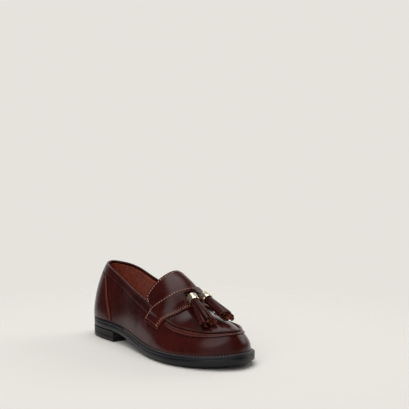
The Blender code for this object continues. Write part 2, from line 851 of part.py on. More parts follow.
def make_fringe(name, head, turn, leather):
    """Leather strips gathered into the ferrule and fanned out below it, as one grooved solid."""
    count = TASSEL_STRIPS * 4
    angle = np.arange(count) * 2 * math.pi / count
    groove = np.array([0.0, 0.0, 0.0, 1.0] * TASSEL_STRIPS)
    step = np.array([(strip * 5) % 3 for strip in range(TASSEL_STRIPS)]).repeat(4)
    bore = FERRULE_RADIUS - FERRULE_WALL - 2 * GAP
    start = -FERRULE_LENGTH / 2 + FERRULE_WALL + 2 * GAP + FERRULE_EASE
    rings = []
    for along, spread, depth in FRINGE_ROWS:
        wide = bore + spread * (TASSEL_WIDTH / 2 - bore)
        deep = bore + spread * (TASSEL_DEPTH / 2 - bore)
        size = 1 - depth * groove
        level = start + along * (TASSEL_LENGTH - STRIP_STEP * step * (along == 1))
        height = np.broadcast_to(level, angle.shape)
        rings.append(np.column_stack([deep * size * np.cos(angle), wide * size * np.sin(angle), height]))
    mesh = grid_mesh(name, np.array(rings), close_around=True)
    shell = bmesh.new()
    shell.from_mesh(mesh)
    shell.verts.ensure_lookup_table()
    knots = list(shell.verts)
    for ring, level in ((knots[:count], start), (knots[-count:], start + TASSEL_LENGTH - FRINGE_HOLLOW)):
        middle = shell.verts.new((0, 0, level))
        for i in range(count):
            shell.faces.new((ring[i], ring[(i + 1) % count], middle))
    bmesh.ops.recalc_face_normals(shell, faces=shell.faces)
    shell.to_mesh(mesh)
    shell.free()
    made = add_object(name, mesh, leather)
    made.matrix_world = Matrix.Translation(head) @ turn.to_4x4()
    return made


def make_tassels(leather, gold):
    heads = []
    for name, *places in TASSEL_ROWS:
        head, turn = tassel_frame(*places)
        make_ferrule("ferrule_" + name, head, turn, gold)
        make_fringe("tassel_" + name, head, turn, leather)
        heads.append((head, turn.col[2].copy()))
    make_lace(heads, leather)


def make_lace(heads, leather):
    """One short lace from ferrule to ferrule, over the strap's slot between them."""
    station, share = strap_slot()
    middle = Vector(raised(station, share, TONGUE_WALL + STRAP_WALL + 3 * GAP + LACE_RADIUS))
    middle.y = sum(head.y for head, down in heads) / len(heads)
    bend = 4 * LACE_RADIUS
    sides = []
    for head, down in heads:
        inside = head - down * (FERRULE_LENGTH / 2 - 2 * FERRULE_WALL)
        mouth = head - down * (FERRULE_LENGTH / 2 + GAP)
        toward = Vector((0, math.copysign(bend, head.y - middle.y), 0))
        curve = [bezier(mouth, mouth - down * bend, middle + toward, middle, k / 6) for k in range(7)]
        sides.append([inside] + curve)
    tube("tassel_lace", sides[0] + sides[1][-2::-1], LACE_RADIUS, leather)


def bezier(start, low, high, end, t):
    """A point on a cubic curve with two handles."""
    return (1 - t)**3 * start + 3 * (1 - t)**2 * t * low + 3 * (1 - t) * t**2 * high + t**3 * end


def centre_parts():
    """Moves the shoe so that the middle of its box stands on the origin."""
    root = bpy.data.objects.new("shoe", None)
    bpy.context.scene.collection.objects.link(root)
    bpy.context.view_layer.update()
    depsgraph = bpy.context.evaluated_depsgraph_get()
    corners = []
    for made in parts.objects:
        solid = made.evaluated_get(depsgraph)
        mesh = solid.to_mesh()
        corners += [made.matrix_world @ vertex.co for vertex in mesh.vertices]
        solid.to_mesh_clear()
    low = Vector(min(corner[axis] for corner in corners) for axis in range(3))
    high = Vector(max(corner[axis] for corner in corners) for axis in range(3))
    root.location = (-(low.x + high.x) / 2, -(low.y + high.y) / 2, -low.z)
    for made in list(parts.objects) + list(cutters.objects):
        made.parent = root


def main():
    for old in list(bpy.data.objects):
        bpy.data.objects.remove(old, do_unlink=True)
    bpy.context.scene.collection.children.link(parts)
    bpy.context.scene.collection.children.link(cutters)
    rubber = material("black_rubber", linear(35, 35, 38), 0.45)
    leather = material("burgundy_leather", linear(64, 30, 28), 0.28, coat=0.4)
    lining = material("lining_suede", linear(94, 44, 30), 0.95)
    gold = material("pale_gold", linear(206, 191, 172), 0.18, metallic=1.0)
    make_outsole(rubber)
    make_welt(rubber)
    make_heel(rubber)
    make_upper(leather)
    make_insole(lining)
    make_tongue(leather)
    make_strap(leather)
    make_counter(leather)
    make_collar_band(leather)
    make_binding(leather)
    make_apron(leather)
    make_tassels(leather, gold)
    centre_parts()


main()
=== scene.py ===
# %% [markdown]
# # A burgundy tassel loafer
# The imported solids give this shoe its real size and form, but they are coarse and plain. In this lesson
# each of them gets a finer skin and then its leather, rubber, thread or metal. A real shoe is pulled over a
# last, a wooden foot, and cut leather lies on it in layers. So one formula for the last serves all the
# pieces here, and each piece only says where on the last it lies and how high above it.

# %% Load the solids
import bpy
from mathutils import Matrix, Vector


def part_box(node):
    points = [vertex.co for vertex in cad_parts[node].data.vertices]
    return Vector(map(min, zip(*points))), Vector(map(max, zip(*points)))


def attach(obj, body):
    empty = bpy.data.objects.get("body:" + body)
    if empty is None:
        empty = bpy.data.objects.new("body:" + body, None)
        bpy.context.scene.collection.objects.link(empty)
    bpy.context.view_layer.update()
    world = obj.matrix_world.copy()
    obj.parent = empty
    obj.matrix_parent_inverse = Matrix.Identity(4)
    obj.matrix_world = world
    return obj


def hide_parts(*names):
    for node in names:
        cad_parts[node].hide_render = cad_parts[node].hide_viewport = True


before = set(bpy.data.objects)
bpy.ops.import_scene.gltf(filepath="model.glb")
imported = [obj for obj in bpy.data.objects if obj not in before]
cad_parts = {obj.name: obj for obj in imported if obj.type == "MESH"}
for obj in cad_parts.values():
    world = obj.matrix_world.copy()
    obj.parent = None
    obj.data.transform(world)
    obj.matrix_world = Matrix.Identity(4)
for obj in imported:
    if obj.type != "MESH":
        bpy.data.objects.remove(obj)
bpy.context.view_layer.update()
print("solids:", sorted(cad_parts))

# %% Tools
import math

import bpy
import numpy as np
from mathutils import Matrix, Vector


def linear(red, green, blue):
    """A colour as the eye reads it, 0 to 255, as the linear values that Blender works in."""
    shares = [value / 255 for value in (red, green, blue)]
    return [s / 12.92 if s <= 0.04045 else ((s + 0.055) / 1.055) ** 2.4 for s in shares] + [1.0]


# %% [markdown]
# ## The last
# These are the shoe's own sizes, in metres, and the tables of its last: its plan, its profiles and the line
# along its top. Stations run around the shoe from the back of the heel (0) along the outer side to the toe
# (12) and back along the inner side (24). A share runs up a profile from the foot of the upper (0) to the
# ridge (1). The tables are those of the solids, so that each skin lies where its solid is.

# %% Sizes
LENGTH, BALL_WIDTH, HEEL_WIDTH = 0.262, 0.0938, 0.0625
COLLAR_HEIGHT, INSTEP_HEIGHT, TOE_HEIGHT, TOE_SPRING = 0.0845, 0.0745, 0.0436, 0.0059
GAP = 0.0003
TOP_LIFT, HEEL_BLOCK, OUTSOLE_EDGE, TREAD, TREAD_INSET = 0.0045, 0.0074, 0.0062, 0.0020, 0.0030
WELT, WELT_WIDTH, HEEL_LENGTH = 0.0030, 0.0090, 0.0655
UPPER_WALL, TONGUE_WALL, STRAP_WALL, OVERLAY_WALL = 0.0018, 0.0016, 0.0015, 0.0010
BINDING_RADIUS, BEAD_RADIUS, INSOLE = 0.0012, 0.0011, 0.0025
HEEL_SEAT = TOP_LIFT + GAP + HEEL_BLOCK + GAP + OUTSOLE_EDGE + GAP + WELT
BALL_SEAT = TREAD + OUTSOLE_EDGE + GAP + WELT

SOLE_ROWS = [
    # along, outer, inner, heel
    (0.000, 0.000, 0.000, 1), (0.020, 0.275, 0.275, 1), (0.070, 0.420, 0.420, 1), (0.160, 0.495, 0.495, 1),
    (0.270, 0.500, 0.463, 1), (0.400, 0.374, 0.288, 0), (0.520, 0.434, 0.333, 0), (0.640, 0.485, 0.440, 0),
    (0.740, 0.485, 0.500, 0), (0.840, 0.410, 0.490, 0), (0.930, 0.255, 0.385, 0), (0.980, 0.095, 0.235, 0),
    (1.000, -0.060, 0.060, 0),
]
PROFILE_ROWS = [
    # inset, ridge, low_pull, lean, top_pull
    (0.10, 0.100, 0.36, 0.025, 0.60), (0.10, 0.115, 0.36, 0.025, 0.57), (0.12, 0.147, 0.36, 0.030, 0.54),
    (0.16, 0.207, 0.34, 0.015, 0.51), (0.20, 0.290, 0.32, -0.020, 0.56), (0.24, 0.420, 0.30, 0.050, 0.74),
    (0.33, 0.545, 0.30, 0.045, 0.78), (0.40, 0.655, 0.34, 0.050, 0.66), (0.42, 0.750, 0.38, 0.060, 0.48),
    (0.42, 0.830, 0.42, 0.050, 0.50), (0.44, 0.890, 0.46, 0.040, 0.54), (0.50, 0.918, 0.49, 0.030, 0.62),
    (0.53, 0.926, 0.50, 0.030, 0.66),
]
RIDGE_ROWS = [
    # along, collar, instep, toe, side
    (0.085, 1.110, 0.000, 0.000, 0.000), (0.200, 1.180, 0.000, 0.000, 0.000),
    (0.330, 1.210, 0.000, 0.000, 0.000), (0.440, 1.150, 0.000, 0.000, 0.018),
    (0.550, 0.000, 1.168, 0.000, 0.042), (0.640, 0.000, 0.970, 0.000, 0.040),
    (0.700, 0.000, 0.760, 0.000, 0.036), (0.770, 0.000, 0.680, 0.000, 0.034),
    (0.850, 0.000, 0.000, 1.080, 0.034), (0.905, 0.000, 0.000, 1.000, 0.036),
    (0.940, 0.000, 0.000, 0.936, 0.038),
]
SEAT_ROWS = [
    # along, arch, spring
    (0.00, 0.95, 0.00), (0.20, 1.00, 0.00), (0.30, 0.90, 0.00), (0.40, 0.56, 0.00), (0.50, 0.20, 0.00),
    (0.60, 0.00, 0.00), (0.72, 0.00, 0.00), (0.80, 0.00, 0.10), (0.90, 0.00, 0.40), (1.00, 0.00, 1.00),
]
TREAD_ROWS = [(0.00, 0.25), (0.45, 0.25), (0.58, 1.00), (1.00, 1.00)]
TOPLINE_ROWS = [
    # along, height
    (0.020, 0.996), (0.070, 0.962), (0.125, 0.938), (0.205, 0.882), (0.285, 0.815), (0.370, 0.757),
    (0.450, 0.702), (0.510, 0.660), (0.560, 0.600),
]
SIDE_STATIONS = len(SOLE_ROWS) - 1
LOOP = 2 * SIDE_STATIONS
SIDE_STATION, THROAT_STATION = 6 + 1 / 3, 7.0


# %% [markdown]
# Three kinds of curve go through the tables: one that may swing past a number, one that never does, and one
# that closes around the shoe. They are short enough to write out, so nothing but numpy is needed.

# %% Curves
def spline(rows, x):
    """A smooth curve through rows of (place, value), which may swing past a value."""
    places, values = np.array([(row[0], row[1]) for row in rows]).T
    count = len(places)
    steps = np.diff(places)
    slopes = np.diff(values) / steps
    system, right = np.eye(count), np.zeros(count)
    for i in range(1, count - 1):
        system[i, i - 1:i + 2] = steps[i - 1], 2 * (steps[i - 1] + steps[i]), steps[i]
        right[i] = 6 * (slopes[i] - slopes[i - 1])
    bend = np.linalg.solve(system, right)
    x = np.clip(np.asarray(x, float), places[0], places[-1])
    i = np.clip(np.searchsorted(places, x, side="right") - 1, 0, count - 2)
    t = x - places[i]
    first = slopes[i] - steps[i] * (2 * bend[i] + bend[i + 1]) / 6
    return values[i] + first * t + bend[i] * t**2 / 2 + (bend[i + 1] - bend[i]) * t**3 / (6 * steps[i])


def steady(rows, x):
    """A curve through rows of (place, value) that never swings past a value."""
    places, values = np.array([(row[0], row[1]) for row in rows]).T
    steps = np.diff(places)
    slopes = np.diff(values) / steps
    tangent = np.zeros(len(values))
    for i in range(1, len(places) - 1):
        if slopes[i - 1] * slopes[i] > 0:
            before = 2 * steps[i] + steps[i - 1]
            after = steps[i] + 2 * steps[i - 1]
            tangent[i] = (before + after) / (before / slopes[i - 1] + after / slopes[i])
    tangent[0], tangent[-1] = slopes[0], slopes[-1]
    x = np.clip(np.asarray(x, float), places[0], places[-1])
    i = np.clip(np.searchsorted(places, x, side="right") - 1, 0, len(steps) - 1)
    t = (x - places[i]) / steps[i]
    start = (2 * t**3 - 3 * t**2 + 1) * values[i] + (t**3 - 2 * t**2 + t) * steps[i] * tangent[i]
    end = (3 * t**2 - 2 * t**3) * values[i + 1] + (t**3 - t**2) * steps[i] * tangent[i + 1]
    return start + end


def loop_spline(values, steps):
    """A smooth curve through the values that closes on itself; steps are the ways between them."""
    values = np.asarray(values, float)
    count = len(values)
    system, right = np.zeros((count, count)), np.zeros_like(values)
    for i in range(count):
        before, after, following = steps[i - 1], steps[i], (i + 1) % count
        system[i, i - 1] += after
        system[i, i] += 2 * (before + after)
        system[i, following] += before
        rise = after * (values[i] - values[i - 1]) / before + before * (values[following] - values[i]) / after
        right[i] = 3 * rise
    tangent = np.linalg.solve(system, right)

    def at(station):
        station = np.asarray(station, float) % count
        i = np.minimum(station.astype(int), count - 1)
        j = (i + 1) % count
        t = (station - i)[..., None]
        step = steps[i][..., None]
        start = (2 * t**3 - 3 * t**2 + 1) * values[i] + (t**3 - 2 * t**2 + t) * step * tangent[i]
        end = (3 * t**2 - 2 * t**3) * values[j] + (t**3 - t**2) * step * tangent[j]
        return start + end

    return at


# %% Vectors and tables
def unit(vectors):
    """The same directions, each one long."""
    return vectors / np.linalg.norm(vectors, axis=-1, keepdims=True)


def square_to(way, out):
    """The part of out that stands square to way, one long."""
    return unit(out - way * (out * way).sum(-1, keepdims=True))


def lengths_along(points):
    """How far along a line each of its points lies."""
    return np.concatenate([[0], np.cumsum(np.linalg.norm(np.diff(points, axis=0), axis=1))])


def between_knots(t, knots, points):
    """Points on the line through the given ones, which lie at the knots along it."""
    return np.stack([np.interp(t, knots, points[:, k]) for k in range(3)], -1)


def column(rows, number):
    """One column of a table against its first one, as the curves read it."""
    return [(row[0], row[number]) for row in rows]


def eased(t):
    """From 0 to 1 with a soft start and a soft end."""
    return t**2 * (3 - 2 * t)


# %% The last's own functions
def plan_points():
    """The corners of the sole's plan, once around the shoe."""
    outer, inner = [], []
    for along, outer_share, inner_share, heel in SOLE_ROWS:
        width = HEEL_WIDTH if heel else BALL_WIDTH
        outer.append((along * LENGTH, -outer_share * width))
        inner.append((along * LENGTH, inner_share * width))
    return np.array(outer[:-1] + [inner[-1]] + inner[-2:0:-1])


PLAN = plan_points()
CHORDS = np.linalg.norm(np.roll(PLAN, -1, 0) - PLAN, axis=1)
STEPS = (CHORDS + CHORDS[::-1]) / 2
sole_edge = loop_spline(PLAN, STEPS)
profile = loop_spline(PROFILE_ROWS + PROFILE_ROWS[-2:0:-1], STEPS)


def inset_plan(station, inset):
    """A point of the sole's plan moved in from its edge, and the way out."""
    step = 0.01
    along = sole_edge(station + step) - sole_edge(station - step)
    out = unit(np.stack([along[..., 1], -along[..., 0]], -1))
    return sole_edge(station) - out * np.asarray(inset)[..., None], out


def seat_height(x):
    """The top of the welt, which the upper stands on."""
    share = np.asarray(x) / LENGTH
    arch, spring = steady(column(SEAT_ROWS, 1), share), steady(column(SEAT_ROWS, 2), share)
    return BALL_SEAT + arch * (HEEL_SEAT - BALL_SEAT) + spring * TOE_SPRING


def ridge_height(x):
    """The height of the line along the last's top."""
    heights = (COLLAR_HEIGHT, INSTEP_HEIGHT, TOE_HEIGHT)
    rows = [(row[0], sum(share * height for share, height in zip(row[1:4], heights))) for row in RIDGE_ROWS]
    return spline(rows, np.asarray(x) / LENGTH)


def ridge_side(x):
    """How far that line lies towards the inner side."""
    return BALL_WIDTH * steady(column(RIDGE_ROWS, 4), np.asarray(x) / LENGTH)


def last(station, share):
    """A point on the last: around the shoe by station, up the profile by share."""
    station, share = np.broadcast_arrays(np.asarray(station, float), np.asarray(share, float))
    inset, ridge, low_pull, lean, top_pull = np.moveaxis(profile(station), -1, 0)
    foot_plan, out = inset_plan(station, inset * WELT_WIDTH)
    foot_height = seat_height(foot_plan[..., 0]) + GAP
    ridge_x = ridge * LENGTH
    top_height = ridge_height(ridge_x)
    step = 1e-4
    slope = (ridge_height(ridge_x + step) - ridge_height(ridge_x - step)) / (2 * step)
    rise = top_height - foot_height
    top_plan = np.stack([ridge_x, ridge_side(ridge_x)], -1)
    away = (foot_plan - top_plan) * top_pull[..., None]
    low_plan = foot_plan + out * (low_pull * lean * rise)[..., None]

    def point(plan, height):
        return np.concatenate([plan, height[..., None]], -1)

    foot = point(foot_plan, foot_height)
    low = point(low_plan, foot_height + low_pull * rise)
    high = point(top_plan + away, top_height + slope * away[..., 0])
    top = point(top_plan, top_height)
    t = share[..., None]
    return (1 - t)**3 * foot + 3 * (1 - t)**2 * t * low + 3 * (1 - t) * t**2 * high + t**3 * top


def last_normal(station, share):
    """The way out of the last."""
    step = 0.01
    share = np.minimum(share, 1 - step)
    around = last(station + step, share) - last(station - step, share)
    up = last(station, share + step / 2) - last(station, share - step / 2)
    return unit(np.cross(around, up))


def topline_share(station):
    """Where the profile meets the edge of the foot's opening."""
    station = np.asarray(station, float)
    side = np.minimum(station, LOOP - station)
    edge = np.where(station < SIDE_STATIONS, SIDE_STATION, LOOP - SIDE_STATION)
    near = np.where(side > SIDE_STATION, edge, station)
    low, high = np.zeros_like(station), np.ones_like(station)
    for _ in range(40):
        middle = (low + high) / 2
        point = last(near, middle)
        under = point[..., 2] < COLLAR_HEIGHT * spline(TOPLINE_ROWS, point[..., 0] / LENGTH)
        low, high = np.where(under, middle, low), np.where(under, high, middle)
    climb = np.clip((side - SIDE_STATION) / (THROAT_STATION - SIDE_STATION), 0, 1)
    return low + (1 - low) * climb


# %% [markdown]
# The solids stand with the middle of their box on the origin, and the tables start at the back of the heel.
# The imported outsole's lowest corner says how far the one is from the other.

# %% From the heel's back to the frame's origin
outsole_low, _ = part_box("outsole")
plan_low = sole_edge(np.arange(72) / 3).min(0)
HOME = np.array([outsole_low.x - plan_low[0], outsole_low.y - plan_low[1], 0.0])
print("the heel's back stands at", HOME.round(5))

# %% [markdown]
# ## Creases
# Worn leather folds where the foot bends, and new leather already shows a little of it where the vamp was
# pulled over the last. Each crease is a soft trough, given one by one: where it is on the last, which way it
# runs, how long, wide and deep it is. All the layers read the same troughs, so they stay parallel.

# %% Creases of the leather
CREASES = [
    # station, share, degrees, half_length, half_width, depth
    (6.95, 0.170, 70, 0.0120, 0.0035, 0.00035),
    (7.35, 0.240, 62, 0.0130, 0.0035, 0.00040),
    (7.75, 0.250, 55, 0.0110, 0.0030, 0.00030),
    (5.60, 0.200, 80, 0.0120, 0.0050, 0.00035),
    (16.7, 0.240, -62, 0.0130, 0.0035, 0.00040),
    (17.2, 0.180, -70, 0.0120, 0.0035, 0.00035),
    (8.10, 0.800, 84, 0.0160, 0.0040, 0.00030),
    (15.9, 0.800, -84, 0.0160, 0.0040, 0.00030),
]
STATION_LENGTH, PROFILE_LENGTH = 0.026, 0.085


def crease(station, share):
    """How far the leather is pushed in at a place on the last."""
    depth = np.zeros(np.broadcast(station, share).shape)
    for at_station, at_share, degrees, half_length, half_width, deep in CREASES:
        along = (np.asarray(station) - at_station) * STATION_LENGTH
        up = (np.asarray(share) - at_share) * PROFILE_LENGTH
        turn = math.radians(degrees)
        run = along * math.cos(turn) + up * math.sin(turn)
        across = up * math.cos(turn) - along * math.sin(turn)
        depth += deep * np.exp(-(run / half_length)**2 - (across / half_width)**2)
    return depth


def skin(station, share, height):
    """A point at a height over the last, with the creases in it."""
    lift = np.asarray(height) - crease(station, share)
    return last(station, share) + last_normal(station, share) * lift[..., None]


# %% [markdown]
# ## Helpers for the modelling
# Most pieces start as Blender's own grid. Its points are then moved onto the last, a Solidify modifier
# gives the leather its thickness, and a Bevel rounds the cut edges. A round piece starts as a circle that
# is extruded ring by ring, as on a lathe. An operator works on all that is selected, so each step deselects
# first.

# %% Selecting, applying and joining
def only(*chosen):
    """Selects these objects alone."""
    bpy.ops.object.select_all(action="DESELECT")
    for made in chosen:
        made.select_set(True)
    bpy.context.view_layer.objects.active = chosen[0]


def modified(made, kind, **settings):
    """Adds a modifier and applies it at once."""
    modifier = made.modifiers.new(kind.lower(), kind)
    for name, value in settings.items():
        setattr(modifier, name, value)
    only(made)
    bpy.ops.object.modifier_apply(modifier=modifier.name)
    return made


def joined(name, pieces, merge=0.0, outwards=False):
    """Makes one mesh of the pieces and merges its doubles."""
    only(*pieces)
    if len(pieces) > 1:
        bpy.ops.object.join()
    made = bpy.context.object
    made.name = made.data.name = name
    if merge:
        bpy.ops.object.mode_set(mode="EDIT")
        bpy.ops.mesh.select_all(action="SELECT")
        bpy.ops.mesh.remove_doubles(threshold=merge)
        if outwards:
            bpy.ops.mesh.normals_make_consistent(inside=False)
        bpy.ops.object.mode_set(mode="OBJECT")
    return made


# %% A grid whose points are put in place
def shaped_grid(name, across, up, place):
    """Blender's grid with its points moved to place(u, v), both from 0 to 1."""
    bpy.ops.object.select_all(action="DESELECT")
    bpy.ops.mesh.primitive_grid_add(x_subdivisions=across, y_subdivisions=up, size=2)
    made = bpy.context.object
    made.name = made.data.name = name
    flat = np.empty(3 * len(made.data.vertices), np.float32)
    made.data.vertices.foreach_get("co", flat)
    u, v = (flat.reshape(-1, 3)[:, :2].T.astype(float) + 1) / 2
    points = place(u.round(6), v.round(6)) + HOME
    made.data.vertices.foreach_set("co", points.astype(np.float32).ravel())
    made.data.update()
    return made


def walled(made, surfaces, wall, bevel=0.0, trim=-1):
    """Gives a sheet its thickness inwards. The surfaces are those of its face, its back and its cut edge."""
    for surface in surfaces:
        made.data.materials.append(surface)
    modified(made, "SOLIDIFY", thickness=wall, offset=-1, use_even_offset=True,
             material_offset=1, material_offset_rim=2)
    if bevel:
        modified(made, "BEVEL", width=bevel, segments=2, limit_method="ANGLE",
                 angle_limit=math.radians(50), material=trim)
    return joined(made.name, [made], merge=2e-6)


def dressed(made, nodes=(), angle=50, surface=None):
    """Smooths a finished piece and lets it stand for its solids."""
    if surface:
        made.data.materials.append(surface)
    only(made)
    bpy.ops.object.shade_smooth_by_angle(angle=math.radians(angle))
    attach(made, "root")
    if nodes:
        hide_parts(*nodes)
    print(f"{made.name}: {len(made.data.polygons)} faces")
    return made


# %% [markdown]
# ## Leather
# Box calf is nearly smooth. What the eye reads as leather is a slow change of colour in the dye, a very
# fine grain in the gloss, and a thin clear finish over both. Noise textures on Object coordinates do that:
# a wide one mixes two dye colours, a middle one changes the roughness, and two finer ones bump the surface.
# The clear finish is the shader's own coat.

# %% Nodes of a material
def add_node(tree, kind, inputs, **settings):
    """Adds a node. Each input, by its name or number, gets a value or is linked to another node's output."""
    made = tree.nodes.new("ShaderNode" + kind)
    for name, value in settings.items():
        setattr(made, name, value)
    for key, value in inputs.items():
        if isinstance(value, bpy.types.NodeSocket):
            tree.links.new(value, made.inputs[key])
        else:
            made.inputs[key].default_value = value
    return made


def to_shader(material, source, name):
    """Links a texture's output to one of the shader's inputs."""
    material.node_tree.links.new(source, material.node_tree.nodes["Principled BSDF"].inputs[name])


def new_material(name, colour, roughness, **values):
    """A material whose shader has this colour and roughness, and further values by name."""
    made = bpy.data.materials.new(name)
    made.use_nodes = True
    shader = made.node_tree.nodes["Principled BSDF"]
    shader.inputs["Base Color"].default_value = colour
    shader.inputs["Roughness"].default_value = roughness
    for key, value in values.items():
        shader.inputs[key.replace("_", " ")].default_value = value
    made.diffuse_color = colour
    return made


def add_noise(material, scale, detail=3.0, roughness=0.55):
    """A noise texture on Object coordinates."""
    place = add_node(material.node_tree, "TexCoord", {}).outputs["Object"]
    noise = add_node(material.node_tree, "TexNoise",
                     {"Vector": place, "Scale": scale, "Detail": detail, "Roughness": roughness})
    return noise.outputs["Fac"]


def add_dye(material, source, dark, light, start=0.3, end=0.7):
    """Mixes two dye colours by a texture, between its values start and end."""
    ramp = add_node(material.node_tree, "ValToRGB", {"Fac": source})
    for element, place, colour in zip(ramp.color_ramp.elements, (start, end), (dark, light)):
        element.position = place
        element.color = colour
    to_shader(material, ramp.outputs["Color"], "Base Color")


def add_gloss(material, source, low, high):
    """Changes the roughness from low to high by a texture."""
    spread = add_node(material.node_tree, "MapRange",
                      {"Value": source, "From Min": 0.3, "From Max": 0.7, "To Min": low, "To Max": high})
    to_shader(material, spread.outputs["Result"], "Roughness")


def add_bump(material, source, strength, distance):
    """Bumps the surface by a texture, on top of what bumps it already."""
    tree = material.node_tree
    bump = add_node(tree, "Bump", {"Strength": strength, "Distance": distance, "Height": source})
    for link in list(tree.nodes["Principled BSDF"].inputs["Normal"].links):
        tree.links.new(link.from_socket, bump.inputs["Normal"])
    to_shader(material, bump.outputs["Normal"], "Normal")


# %% The leathers
def make_calf(name, dark, light):
    made = new_material(name, light, 0.3, Coat_Weight=0.12, Coat_Roughness=0.08, Specular_IOR_Level=0.13)
    add_dye(made, add_noise(made, 22, detail=4), dark, light, 0.35, 0.68)
    add_gloss(made, add_noise(made, 90), 0.19, 0.3)
    add_bump(made, add_noise(made, 1100, detail=2), 0.12, 0.0001)
    add_bump(made, add_noise(made, 160, detail=2), 0.10, 0.0002)
    return made


calf = make_calf("burgundy_calf", linear(46, 13, 12), linear(66, 22, 19))
strap_calf = make_calf("strap_calf", linear(48, 14, 13), linear(69, 24, 21))
band_calf = make_calf("band_calf", linear(54, 23, 20), linear(74, 36, 31))

# %% [markdown]
# ## Cut edges, lining and thread
# Where this leather is cut and not dyed again, the rusty brown of the hide shows. Such an edge is another
# material of its piece, because that follows the geometry exactly. The lining is the flesh side of the
# hide: no gloss at all, a short nap and a mottled colour. The thread is waxed, with a soft shine.

# %% Materials of the edges, the lining and the thread
raw_edge = new_material("raw_edge", linear(126, 62, 45), 0.7, Specular_IOR_Level=0.25)
add_dye(raw_edge, add_noise(raw_edge, 400), linear(98, 42, 30), linear(152, 80, 58))
add_bump(raw_edge, add_noise(raw_edge, 1500), 0.4, 0.0002)

lining = new_material("brown_lining", linear(146, 66, 44), 0.95, Sheen_Weight=0.15, Specular_IOR_Level=0.2)
nap = add_noise(lining, 260, detail=6, roughness=0.75)
add_dye(lining, nap, linear(124, 51, 33), linear(194, 98, 68), 0.34, 0.68)
add_bump(lining, add_noise(lining, 1400, detail=4), 0.5, 0.0003)


def make_thread(name, dark, colour, light, roughness=0.55, **values):
    made = new_material(name, colour, roughness, **values)
    add_dye(made, add_noise(made, 500), dark, light)
    return made


tan_thread = make_thread("tan_thread", linear(180, 128, 106), linear(205, 155, 130), linear(224, 178, 152))
wine_thread = make_thread("wine_thread", linear(108, 52, 40), linear(132, 72, 56), linear(152, 88, 70))
# The welt's thread is black. Its colours here are a lighter grey as a painted highlight for the glints on its
# stitches, on top of the shader's real gloss.
grey_thread_painted_glint = make_thread("grey_thread_painted_glint", linear(62, 55, 56), linear(84, 77, 77), linear(118, 108, 107), 0.3,
                           Specular_IOR_Level=0.8)

# %% [markdown]
# ## Rubber and metal
# The sole is black rubber with a satin skin: a faint mottling, a middle roughness and a fine bump from the
# mould. The ferrules are brass plated in pale gold. The colour of metal is in its reflections, so only the
# roughness changes a little over it. A tenth less than full metal keeps the plating pale where it mirrors
# the dark.

# %% Materials of the sole and the ferrules
rubber = new_material("black_rubber", linear(20, 20, 24), 0.42, Specular_IOR_Level=0.3)
add_dye(rubber, add_noise(rubber, 60), linear(15, 15, 20), linear(24, 25, 31))
add_gloss(rubber, add_noise(rubber, 150), 0.36, 0.5)
add_bump(rubber, add_noise(rubber, 1300), 0.15, 0.0002)

heel_rubber = new_material("heel_rubber", linear(38, 33, 34), 0.5, Specular_IOR_Level=0.22)
add_dye(heel_rubber, add_noise(heel_rubber, 90), linear(28, 24, 25), linear(46, 40, 41))
add_bump(heel_rubber, add_noise(heel_rubber, 900), 0.2, 0.0002)

gold = new_material("pale_gold", linear(236, 223, 196), 0.18, Metallic=0.9)
add_gloss(gold, add_noise(gold, 700), 0.13, 0.24)

# %% [markdown]
# ## The upper and its lining
# The upper is one hollow wall that is pulled over the last. A grid is wrapped around the shoe, from the
# foot of the wall up to the edge of the opening, and along the vamp up to the ridge, where both halves meet
# and are merged. Solidify then makes the wall inwards. The lining is a second, thinner one just inside it.

# %% The upper
EDGE_ROUND, LINING_WALL = 0.0003, 0.0006


def upper_place(height):
    def place(u, v):
        station = u * LOOP
        return skin(station, v * topline_share(station), height)
    return place


upper = joined("upper_skin", [shaped_grid("upper_skin", 288, 60, upper_place(0.0))], merge=1e-5)
walled(upper, [calf, lining, calf], UPPER_WALL, bevel=EDGE_ROUND)
dressed(upper, ["upper"])

lining_grid = shaped_grid("lining_sheet", 192, 36, upper_place(-UPPER_WALL - GAP))
lining_sheet = joined("lining_sheet", [lining_grid], merge=1e-5)
walled(lining_sheet, [lining], LINING_WALL)
dressed(lining_sheet)

# %% [markdown]
# ## Overlays
# The counter and the collar band are cut from the same hide and stitched on top. Each is a grid between two
# lines on the last. Near its edges the leather is pared thin, as a shoemaker skives it, so the height drops
# a little there and the light catches a soft shoulder instead of a step.

# %% Lines on the last that the overlays follow
COLLAR_BAND_ROWS = [(0.0, 0.590), (1.0, 0.580), (2.3, 0.535), (3.0, 0.503), (4.0, 0.427), (4.9, 0.393),
                    (5.7, 0.388), (6.3, 0.380)]
COUNTER_ROWS = [(0.00, 3.60), (0.28, 3.42), (0.55, 3.15), (0.78, 2.86), (1.00, 2.40)]
SEAM_ROWS = [(7.25, 0.467), (7.60, 0.485), (8.30, 0.494), (9.10, 0.508), (9.75, 0.540), (10.3, 0.598),
             (11.0, 0.668), (12.0, 0.713)]
APRON_EDGE_ROWS = [(7.25, 0.420), (7.90, 0.417), (8.50, 0.406), (9.05, 0.412), (9.60, 0.447), (10.2, 0.497),
                   (10.9, 0.573), (12.0, 0.640)]
SEAM_SHARE = 0.012
BAND_END, BAND_SLANT, BAND_CLEAR, BINDING_END = 6.22, 0.12, 0.001, 6.33
PANEL_TOP = GAP + OVERLAY_WALL


def pared(v, width=0.10, depth=0.00035):
    """How much lower a panel lies near its two edges."""
    near = np.minimum(v, 1 - v) / width
    return -depth * np.exp(-near**2 * 3)


def on_counter(v, across, back=0.0):
    """Station and share on the counter: v up it, across from its inner edge (-1) to its outer one (1)."""
    station = across * (spline(COUNTER_ROWS, v) - back)
    top = spline(COLLAR_BAND_ROWS, np.abs(station)) - SEAM_SHARE
    return station, SEAM_SHARE + v * (top - SEAM_SHARE)


def counter_place(u, v):
    return skin(*on_counter(v, 2 * u - 1), PANEL_TOP + pared(u, 0.03))


